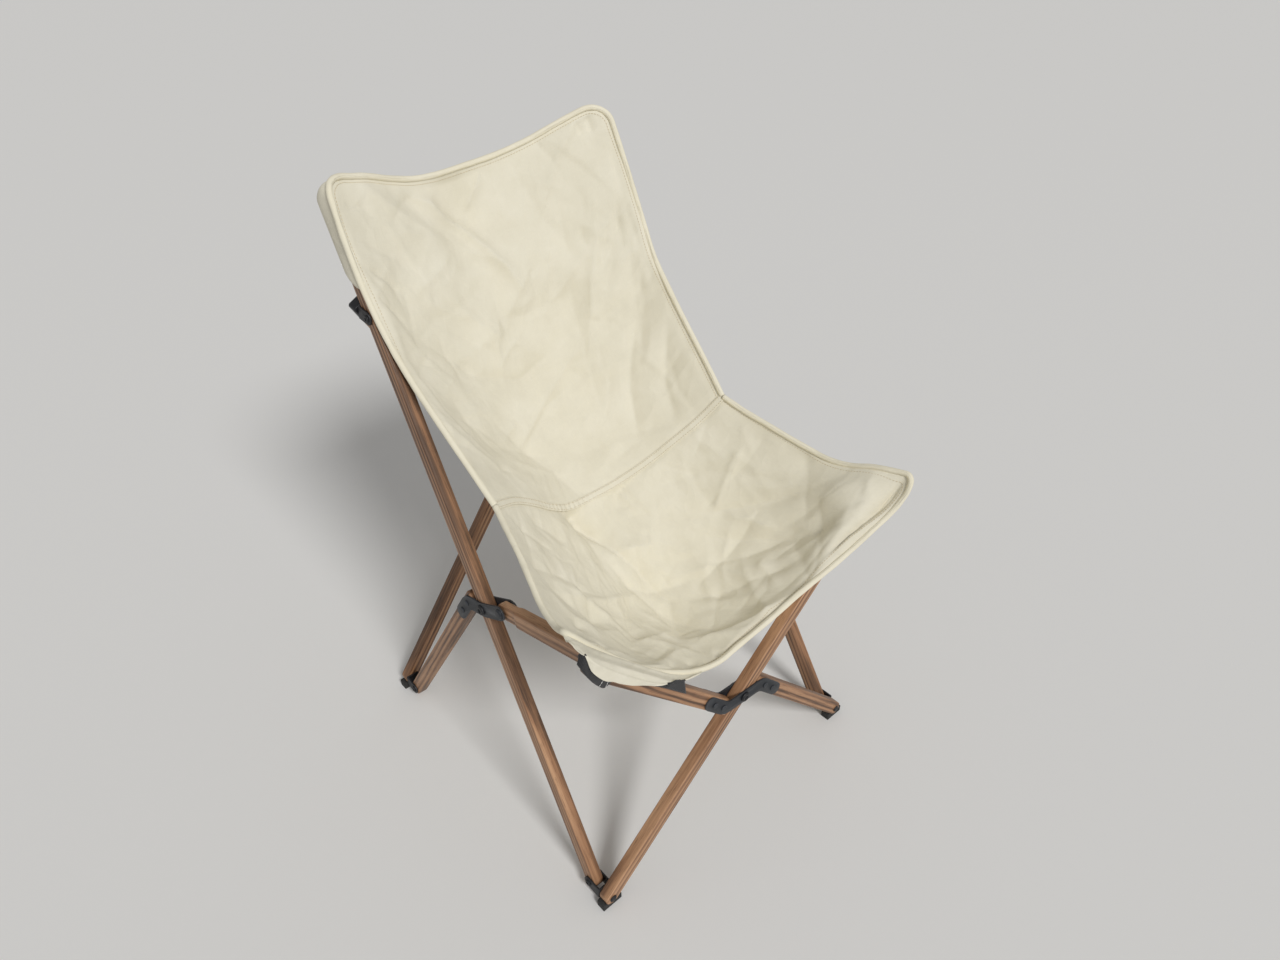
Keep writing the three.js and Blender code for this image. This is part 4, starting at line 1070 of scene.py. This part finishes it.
def border(size, corner, net, inset, step):
    """(u, v) along both sides, corners and free edge at an inset from the border, evenly spaced."""
    half_way = np.full(1, 0.5)
    near_side = net(np.ones(1), half_way) - net(np.full(1, 1 - RATE_SPAN), half_way)
    rate = np.linalg.norm(near_side) / RATE_SPAN
    turn = np.linspace(0.0, math.pi / 2, BEND_POINTS)
    side_v = np.linspace(1.0 - SEAM_GAP / size[1], corner / size[1], SIDE_POINTS)
    bend_u = 1 - (corner - (corner - inset) * np.cos(turn)) / size[0]
    bend_v = (corner - (corner - inset) * np.sin(turn)) / size[1]
    slant = inset / size[0] + (inset / rate - inset / size[0]) * ramp(side_v * size[1], corner, 3 * corner)
    edge_u = np.linspace(1 - corner / size[0], corner / size[0] - 1, SIDE_POINTS)[1:-1]
    edge_v = np.full(len(edge_u), inset / size[1])
    u = np.concatenate([1 - slant, bend_u, edge_u, -bend_u[::-1], slant[::-1] - 1])
    v = np.concatenate([side_v, bend_v, edge_v, bend_v[::-1], side_v[::-1]])
    run, even = even_run(net(u, v), step)
    return np.interp(even, run, u), np.interp(even, run, v), even


def tube_points(line, lift, radius, steps):
    """A circle of the given radii at each point of a line, square to it, starting from the lift direction."""
    along = unit(np.gradient(line, axis=0))
    side = unit(np.cross(along, lift))
    top = np.cross(side, along)
    angles = np.linspace(0.0, 2 * math.pi, steps, endpoint=False)
    ring = np.cos(angles)[None, :, None] * top[:, None] + np.sin(angles)[None, :, None] * side[:, None]
    return line[:, None] + np.asarray(radius)[:, None, None] * ring


def closed_tube(points):
    """Quads along a tube, and one face over each of its ends, all looking outwards."""
    rows, steps = points.shape[:2]
    faces = [list(face) for face in grid_quads(rows, steps, wrap=True)[:, ::-1]]
    faces.append(list(range(steps)))
    faces.append(list(range(rows * steps - 1, (rows - 1) * steps - 1, -1)))
    return faces


def make_binding(name, body, node, surface, size, corner, net, seed):
    """A wavering tube along the border of a cloth."""
    u, v, run = border(size, corner, net, 0.0, BINDING_STEP)
    line, lift = surface(u, v)
    waver = np.random.default_rng(seed).normal(0.0, 1.0, len(run))
    window = np.hanning(WAVER_SPAN)
    soft = np.convolve(waver, window / window.sum(), mode="same")
    points = tube_points(line, lift, BINDING_RADIUS * (1 + WAVER_SHARE * soft), BINDING_STEPS)
    binding = new_piece(name, points, closed_tube(points), tape)
    around = np.linspace(0.0, 2 * math.pi * BINDING_RADIUS, BINDING_STEPS)
    set_uv(binding, np.stack(np.meshgrid(run, around, indexing="ij"), axis=-1))
    return ride_as(binding, body, "canvas", node)


back_edge = make_binding(
    "back_piping", "sling_back", "back_binding", back_surface, back_size, BACK_CORNER, back_net, 5)
seat_edge = make_binding(
    "seat_piping", "sling_seat", "seat_binding", seat_surface, seat_size, SEAT_CORNER, seat_net, 6)
print("piping is", 2 * BINDING_RADIUS / MM, "mm thick")

# %% [markdown]
# ## The lumbar seam
# Back and seat overlap in a flat felled seam, a raised band with a row of stitches along each edge. Its
# section is carried along the seam, and small ruffles gather it where the cloth is slack, to the right.

# %% Lumbar seam
WELT_SECTION = np.array([(-5.6, -1.0), (-5.6, 0.3), (-5.0, 1.1), (-3.4, 1.3), (0.0, 1.25), (3.4, 1.3),
                         (5.0, 1.1), (5.6, 0.3), (5.6, -1.0), (0.0, -1.2)]) * MM
WELT_STEP = 1.5 * MM
RUFFLE_HEIGHT = 1.7 * MM
RUFFLE_PITCH = 9.5 * MM
RUFFLE_MIDDLE = -0.26
RUFFLE_REACH = 0.24
SEAM_END = 0.992
SEAM_POINTS = 800


def seam_ruffle(u, run):
    """Rise of the gathered seam: half a sine's swing along it, fading on both sides of the slack place."""
    swing = 0.5 + 0.5 * np.sin(2 * math.pi * run / RUFFLE_PITCH)
    return RUFFLE_HEIGHT * swing * np.exp(-(((u - RUFFLE_MIDDLE) / RUFFLE_REACH) ** 2))


def seam_frame(step):
    """Even points of the lumbar seam with the ways along it, forward across it and up from the cloth."""
    u = np.linspace(-SEAM_END, SEAM_END, SEAM_POINTS)
    run, even = even_run(seat_net(u, np.ones(SEAM_POINTS)), step)
    u = np.interp(even, run, u)
    line, seat_up = seat_surface(u, np.ones_like(u))
    lift = unit(seat_up + back_surface(u, np.ones_like(u))[1])
    along = unit(np.gradient(line, axis=0))
    forward = unit(np.cross(lift, along))
    return u, even, line, along, forward, np.cross(along, forward)


welt_u, welt_run, welt_line, _, welt_forward, welt_lift = seam_frame(WELT_STEP)
welt_points = (
    welt_line[:, None] + WELT_SECTION[None, :, :1] * welt_forward[:, None]
    + (WELT_SECTION[None, :, 1:] + seam_ruffle(welt_u, welt_run)[:, None, None]) * welt_lift[:, None]
)
welt = new_piece("felled_seam", welt_points, closed_tube(welt_points[:, ::-1]), canvas)
welt_across = np.broadcast_to(WELT_SECTION[::-1, 0], welt_points.shape[:2])
set_uv(welt, np.stack([np.broadcast_to(welt_run[:, None], welt_points.shape[:2]), welt_across], axis=-1))
ride_as(welt, "sling_back", "canvas", "lumbar_welt")
print("seam length", round(float(welt_run[-1]), 3))

# %% [markdown]
# ## Pockets
# Each stick end sits in a canvas pocket sewn to the underside of the cloth along the piping. Its section
# starts at the piping, wraps the stick, and comes back to the cloth. The section is carried from the closed
# corner to a slanted mouth, and near the corner it is drawn in to the cloth so that the pocket closes.

# %% Back pockets
POCKET_THICKNESS = 1.1 * MM
POCKET_ROWS = 44
POCKET_COLUMNS = 40
CAP_LENGTH = 30.0 * MM
BACK_SECTION = np.array([(12.2, -9.0), (12.6, 3.0), (9.5, 13.4), (0.0, 15.2),
                         (-9.5, 13.4), (-12.0, 2.0)]) * MM
BACK_MOUTH = np.array([146.0, 138.0, 122.0, 104.0, 96.0, 94.0, 96.0, 100.0]) * MM
MOUTH_DROP = 14.0 * MM
BACK_ROW_POWER = 1.4
INNER_SEAM = 38.0 * MM
SEWN_DEPTH = 1.6 * MM


def spline_weights(count, shares):
    """Weights of count control points at shares of the way along them, on the cubic through all of them."""
    places = shares * (count - 1)
    i = np.clip(places.astype(int), 0, count - 2)
    s = (places - i)[:, None]
    basis = np.eye(count)
    slopes = np.gradient(basis, axis=0)
    ends = (2 * s**3 - 3 * s**2 + 1) * basis[i] + (3 * s**2 - 2 * s**3) * basis[i + 1]
    return ends + (s**3 - 2 * s**2 + s) * slopes[i] + (s**3 - s**2) * slopes[i + 1]


def wrapped_points(outer, inner, axis, section, sides, cap):
    """Points from outer to inner edge through a section about an axis, drawn in to a line by the cap."""
    shares = np.linspace(0.0, 1.0, POCKET_COLUMNS)
    weights = spline_weights(len(section) + 2, shares)
    middle = axis[..., None, :] + section[:, :1] * sides[0] + section[:, 1:] * sides[1]
    control = np.concatenate([outer[..., None, :], middle, inner[..., None, :]], axis=-2)
    wrapped = np.einsum("pk,qpkd->qpd", weights, control)
    straight = outer + (inner - outer) * shares[None, :, None]
    return straight + (wrapped - straight) * cap[..., None]


def closed_end(away):
    """A quarter circle from 0 at the closed end of a pocket to 1 where its cap ends."""
    t = np.clip(away / CAP_LENGTH, 0.0, 1.0)
    return np.sqrt(1 - (1 - t) ** 2)


def finish_pocket(name, points, outward, body, replaced, material=canvas, thickness=POCKET_THICKNESS):
    """A thin sewn piece whose faces look away from the stick."""
    faces = grid_quads(*points.shape[:2])
    pocket = new_piece(name, points, faces if outward else faces[:, ::-1], material)
    run = np.cumsum(np.linalg.norm(np.diff(points, axis=1, prepend=points[:, :1]), axis=2), axis=1)
    drop = np.cumsum(np.linalg.norm(np.diff(points, axis=0, prepend=points[:1]), axis=2), axis=0)
    set_uv(pocket, np.stack([run, drop], axis=-1))
    solid = pocket.modifiers.new("thickness", "SOLIDIFY")
    solid.thickness = thickness
    solid.offset = -1.0
    return ride_as(pocket, body, "canvas", *replaced)


def make_back_pocket(side, name):
    """Rows run down from the top edge of the back, each as far as the slanted mouth allows."""
    middle, turn, half = node_box(name + "_back_pole")
    down = turn[0] * -np.sign(turn[0, 2])
    tip = middle - down * half[0]
    outward = unit(np.array([side, 0.0, 0.0]) - side * down[0] * down)
    backward = unit(np.cross(down, outward) * side)
    backward = backward * np.sign(backward[1])
    shares = np.linspace(0.0, 1.0, POCKET_COLUMNS)
    mouth = np.interp(shares, np.linspace(0.0, 1.0, len(BACK_MOUTH)), BACK_MOUTH) + MOUTH_DROP
    v = np.linspace(0.0, 1.0, POCKET_ROWS)[:, None] ** BACK_ROW_POWER * mouth / back_size[1]
    share = corner_share(v * back_size[1], BACK_CORNER, back_size[0])
    outer, _ = back_surface(side * share, v)
    inner, up = back_surface(side * (share - INNER_SEAM / back_size[0]), v)
    axis = tip + ((outer - tip) @ down)[..., None] * down
    cap = closed_end(v * back_size[1])
    points = wrapped_points(outer, inner - SEWN_DEPTH * up, axis, BACK_SECTION, (outward, backward), cap)
    return points, finish_pocket(
        name + "_back_sleeve", points, side < 0, name + "_back_pole", ["back_" + name + "_pocket"])


right_sleeve_points, right_sleeve = make_back_pocket(-1, "right")
left_sleeve_points, left_sleeve = make_back_pocket(1, "left")
print("back pockets reach down", BACK_MOUTH.max() / MM, "mm")

# %% [markdown]
# At the left front the pole comes up under the cloth, so that pocket is a sleeve below it, from the piping
# round the pole and back to the cloth.

# %% Left front pocket
LEFT_SECTION = np.array([(14.5, 13.0), (8.0, 15.2), (-4.0, 15.6), (-12.5, 13.0)]) * MM
LEFT_MOUTH = 112.0 * MM
LEFT_DEPTH = 92.0 * MM
LEFT_ROW_POWER = 1.3
TUCK = 2.5 * MM


def corner_border(away, corner):
    """Distance from the free edge to the rounded corner's border, by the distance away from the side."""
    short = np.clip(corner - away, 0.0, corner)
    return corner - np.sqrt(corner**2 - short**2)


def make_left_pocket():
    """Rows run down along the pole from the left border, each from the piping under the pole to the cloth."""
    middle, turn, half = node_box("front_pole")
    down = turn[0] * -np.sign(turn[0, 2])
    tip = middle - down * half[0]
    forward = np.array([0.0, -1.0, 0.0])
    below = np.cross(forward, down)
    below = below * -np.sign(below[2])
    rows = np.linspace(0.0, 1.0, POCKET_ROWS)[:, None] ** LEFT_ROW_POWER
    away = np.repeat(rows, POCKET_COLUMNS, axis=1) * LEFT_MOUTH
    u = 1 - away / seat_size[0]
    outer, lift = seat_surface(u, (corner_border(away, SEAT_CORNER) + TUCK) / seat_size[1])
    outer = outer - TUCK * lift
    inner, up = seat_surface(u, np.full_like(u, LEFT_DEPTH / seat_size[1]))
    centre = (outer + inner) / 2
    axis = tip + ((centre - tip) @ down)[..., None] * down
    cap = closed_end(away)
    points = wrapped_points(outer, inner - SEWN_DEPTH * up, axis, LEFT_SECTION, (forward, below), cap)
    return points, finish_pocket("front_left_sleeve", points, True, "front_pole", ["front_left_pocket"])


left_front_points, left_front_sleeve = make_left_pocket()
print("left front pocket reaches", LEFT_MOUTH / MM, "mm along the pole")

# %% [markdown]
# At the right front the cloth is pulled back over the bar, and the pocket's front wall shows as a flap. It
# leaves the piping, is lifted softly clear of the bar, and hangs before it to a slightly waved edge.

# %% Right front flap
FLAP_EDGE = [(-258, -222, 501), (-264, -240, 503), (-263, -256, 499), (-257, -268, 480),
             (-246, -269.5, 461), (-230, -269.5, 442), (-212, -269.5, 426), (-189, -269, 406),
             (-166, -269, 388), (-143, -267, 373), (-108, -259.5, 349), (-68, -250, 324)]
FLAP_COLUMNS = 110
FLAP_ROWS = 36
FLAP_CLEARANCE = 3.4 * MM
FLAP_SOFTNESS = 1.6 * MM
FLAP_SHIFT = 7.0
FLAP_SHIFT_FROM = 0.1
FLAP_SHIFT_TO = 0.3
FLAP_LEAN = 5.0
FLAP_LIMIT = 0.995
FLAP_TURN = 0.55
FLAP_START = 0.08
HANG_POWER = 1.6
WAVE_SIZE = 0.9 * MM
WAVE_TURNS = 31.0
STEEPEST = 40.0
BAR_SPARE = 0.8 * MM
BAR_LEDGE = 8.0 * MM
BEFORE_SLOPE = 7.0
BEHIND_SLOPE = 1.5
HINGE_RISE = 3.2 * MM
HINGE_RUN = 5.0 * MM
RIGHT_REACH = -FRONT[0][0] * MM


def bar_top(x, y):
    """Height that clears the front bar at (x, y): level over its thickness, then down on both sides."""
    middle, turn, half = node_box("front_upper_bar")
    rise = turn[0, 2] / turn[0, 0]
    top = middle[2] + (x - middle[0]) * rise + half[1] / abs(turn[0, 0]) + FLAP_CLEARANCE
    before = np.maximum(middle[1] - half[2] - BAR_SPARE - y, 0.0)
    back_face = middle[1] + half[2]
    behind = np.maximum(y - back_face - BAR_LEDGE, 0.0)
    hinge = HINGE_RISE * ramp(y, back_face - HINGE_RUN, back_face)
    return top - BEFORE_SLOPE * before - BEHIND_SLOPE * behind + hinge


def make_flap():
    """Rows run from the front piping out over the bar in a quarter turn, then down to the hanging edge."""
    shares = np.linspace(0.0, 1.0, FLAP_COLUMNS)
    lower = smooth_curve(FLAP_EDGE)(shares)
    shift = (FLAP_SHIFT * ramp(shares, FLAP_SHIFT_FROM, FLAP_SHIFT_TO) - FLAP_LEAN * shares) * MM
    u = np.maximum((lower[:, 0] + shift) / RIGHT_REACH, -FLAP_LIMIT)
    upper, _ = seat_surface(u, corner_border((1 + u) * seat_size[0], SEAT_CORNER) / seat_size[1])
    w = np.linspace(0.0, 1.0, FLAP_ROWS)[:, None]
    x = upper[:, 0] + (lower[:, 0] - upper[:, 0]) * w
    y = upper[:, 1] + (lower[:, 1] - upper[:, 1]) * np.sin(np.minimum(w / FLAP_TURN, 1.0) * math.pi / 2)
    y = y - WAVE_SIZE * np.sin(shares * WAVE_TURNS) * np.sin(math.pi * shares) * w**2
    hang = upper[:, 2] + (lower[:, 2] - upper[:, 2]) * w**HANG_POWER
    lack = np.clip((bar_top(x, y) - hang) / FLAP_SOFTNESS, -STEEPEST, STEEPEST)
    over = FLAP_SOFTNESS * np.log1p(np.exp(lack))
    flap = np.stack([x, y, hang + over * ramp(w, 0.0, FLAP_START)], axis=-1)
    return flap, finish_pocket("front_right_flap", flap, False, "front_split", ["front_right_pocket"])


flap_points, flap = make_flap()
print("flap hangs to", (flap_points[..., 2].min() / MM).round(0), "mm")

# %% [markdown]
# ## Webbing
# A band of black webbing is sewn inside the flap, along the bar. It shows below the flap at the corner,
# where two white bar tacks hold it, and again where the flap ends. Its rows follow the inside of the flap
# down to an edge line.

# %% Webbing band
BAND_EDGE = [(-270, -262, 494), (-266, -266.5, 483), (-259, -268, 467), (-250, -268, 452),
             (-240, -268, 441), (-228, -266.6, 441), (-212, -266.4, 427), (-189, -266.4, 407),
             (-172, -266.8, 393), (-163, -268.4, 385), (-140, -269, 361), (-116, -269.6, 336)]
BAND_THICKNESS = 1.0 * MM
BAND_GAP = 1.7 * MM
BAND_ROWS = 16
BAND_SHARES = (0.62, 0.80, 1.0)
BAND_START = FLAP_COLUMNS // 8
BAND_END = -110.6 * MM


def make_band():
    """A cubic across each column of the flap: three places inside the flap, then the band's own edge line."""
    lower = flap_points[-1, :, 0]
    columns = np.arange(FLAP_COLUMNS)
    columns = columns[(columns > BAND_START) & (lower < BAND_END)]
    outward = unit(np.cross(np.gradient(flap_points, axis=0), np.gradient(flap_points, axis=1)))
    inside = (flap_points - BAND_GAP * outward)[:, columns]
    rows = (np.array(BAND_SHARES) * (FLAP_ROWS - 1)).astype(int)
    edge = smooth_curve(BAND_EDGE)(np.linspace(0.0, 1.0, len(columns)))
    control = np.concatenate([inside[rows], edge[None]])
    weights = spline_weights(len(control), np.linspace(0.0, 1.0, BAND_ROWS))
    points = np.einsum("rk,kcd->rcd", weights, control)
    return points, finish_pocket(
        "front_right_band", points, False, "front_split", [], material=webbing, thickness=BAND_THICKNESS)


band_points, band = make_band()
print("band length", round(float(np.linalg.norm(np.diff(band_points[-1], axis=0), axis=1).sum()), 3))

# %% [markdown]
# ## Stitches
# A row of tan stitches runs just inside the piping, and one along each edge of the lumbar seam. Each stitch
# is a small spindle: a six-sided ring whose radius swells from its ends to its middle. All the stitches of
# one cloth are one mesh, made at once from arrays of places and directions.

# %% Stitches
STITCH_HALF = 1.55 * MM
STITCH_RADIUS = 0.42 * MM
STITCH_SIDES = 6
STITCH_FLATNESS = 0.8
SPINDLE = np.array([(-1.0, 0.25), (-0.6, 0.9), (0.0, 1.0), (0.6, 0.9), (1.0, 0.25)])


def stitch_points(places, ways, lifts):
    """Rings of six points along each stitch: length by the spindle's first column, radius by its second."""
    side = np.cross(ways, lifts)
    angles = np.linspace(0.0, 2 * math.pi, STITCH_SIDES, endpoint=False)[:, None]
    ring = np.cos(angles) * lifts[:, None] * STITCH_FLATNESS + np.sin(angles) * side[:, None]
    along = SPINDLE[:, 0][None, :, None, None] * STITCH_HALF * ways[:, None, None]
    swell = SPINDLE[:, 1][None, :, None, None] * STITCH_RADIUS * ring[:, None]
    return places[:, None, None] + along + swell


def make_stitches(name, parts, body, material):
    """One mesh of every stitch in several runs of places, directions and lifts."""
    places, ways, lifts = (np.concatenate(column) for column in zip(*parts))
    points = stitch_points(places, ways, lifts)
    count, rings, steps = points.shape[:3]
    quads = grid_quads(rings, steps, wrap=True)[:, ::-1]
    start = np.arange(count)[:, None, None] * rings * steps
    faces = (start + quads[None]).reshape(-1, 4).tolist()
    ends = np.stack([np.arange(steps), np.arange(rings * steps - 1, (rings - 1) * steps - 1, -1)])
    faces += (start + ends[None]).reshape(-1, steps).tolist()
    return ride_as(new_piece(name, points, faces, material), body, "canvas")


print("a stitch is", 2 * STITCH_HALF / MM, "mm long")

# %% [markdown]
# A row follows the border of each cloth at an inset, two follow the lumbar seam, and the tacks go down two
# columns of the band. Each row gives the places of its stitches, the way they run and the way up.

# %% Rows of stitches
STITCH_PITCH = 4.2 * MM
STITCH_INSET = 8.2 * MM
BORDER_LIFT = 0.15 * MM
SEAM_LIFT = 1.35 * MM
SEAM_OFFSET = 3.6 * MM
TACK_LIFT = 0.3 * MM
TACK_ROWS = np.array([-6, -4, -2])
TACK_PLACES = (-248.0 * MM, -240.0 * MM)


def border_run(surface, size, corner, net):
    """Stitches along the border of a cloth at the stitch inset."""
    u, v, _ = border(size, corner, net, STITCH_INSET, STITCH_PITCH)
    line, lift = surface(u, v)
    way = unit(np.gradient(line, axis=0))
    lift = unit(lift - (lift * way).sum(-1, keepdims=True) * way)
    return line + BORDER_LIFT * lift, way, lift


def seam_run(offset):
    """Stitches along the lumbar seam, at an offset forward of its middle."""
    u, run, line, along, forward, lift = seam_frame(STITCH_PITCH)
    height = (SEAM_LIFT + seam_ruffle(u, run))[:, None]
    return line + offset * forward + height * lift, along, lift


def tack_run(points, column):
    """Three stitches in line down one column of a sewn piece, just above its face, to its edge."""
    down = np.gradient(points, axis=0)[TACK_ROWS, column]
    outward = unit(np.cross(down, np.gradient(points, axis=1)[TACK_ROWS, column]))
    return points[TACK_ROWS, column] + TACK_LIFT * outward, unit(down), outward


back_runs = [border_run(back_surface, back_size, BACK_CORNER, back_net)]
back_runs += [seam_run(-SEAM_OFFSET), seam_run(SEAM_OFFSET)]
seat_runs = [border_run(seat_surface, seat_size, SEAT_CORNER, seat_net)]
tack_columns = [np.abs(band_points[-1, :, 0] - place).argmin() for place in TACK_PLACES]
tack_runs = [tack_run(band_points, column) for column in tack_columns]
back_stitches = make_stitches("back_stitches", back_runs, "sling_back", thread)
seat_stitches = make_stitches("seat_stitches", seat_runs, "sling_seat", thread)
tacks = make_stitches("band_tacks", tack_runs, "front_split", white_thread)
print("stitch faces:", len(back_stitches.data.polygons) + len(seat_stitches.data.polygons))

# %% [markdown]
# ## The floor and the light
# A plain pale floor keeps the shadow under the chair, and is wide enough to fill every view. One broad sun
# gives the same soft light all over it, from above and in front, and a pale world lightens the shadows.

# %% Stage
FLOOR_HALF = 60.0
SUN_PLACE = np.array([-0.20, -1.18, 1.02])
SUN_STRENGTH = 1.95
SUN_ANGLE = math.radians(16.0)
WORLD_STRENGTH = 0.335
FLOOR_COLOUR = (0.80, 0.79, 0.77, 1.0)
floor_points = np.array([(-1, -1, 0), (1, -1, 0), (1, 1, 0), (-1, 1, 0)]) * FLOOR_HALF
floor_finish, _, _ = new_finish("pale_floor", roughness=0.9, base_color=FLOOR_COLOUR)
floor = new_piece("floor", floor_points, [(0, 1, 2, 3)], floor_finish, smooth=False)

sun_light = bpy.data.lights.new("sun", "SUN")
sun_light.energy = SUN_STRENGTH
sun_light.angle = SUN_ANGLE
sun = bpy.data.objects.new("sun", sun_light)
sun.matrix_world = camera_turn(SUN_PLACE, np.zeros(3), 0.0)
bpy.context.scene.collection.objects.link(sun)

world = bpy.data.worlds.new("pale_world")
world.use_nodes = True
sky = world.node_tree.nodes["Background"]
sky.inputs["Color"].default_value = (1.0, 1.0, 1.0, 1.0)
sky.inputs["Strength"].default_value = WORLD_STRENGTH
bpy.context.scene.world = world
bpy.context.scene.view_settings.view_transform = "Standard"
print("sun strength", SUN_STRENGTH, "and world", WORLD_STRENGTH)

# %% [markdown]
# The panels, their piping, the seam and the stitches each get a mesh of their own.

# %% Own meshes for the cloth
for piece in (back_panel, seat_panel, back_edge, seat_edge, welt, back_stitches, seat_stitches):
    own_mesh(piece)
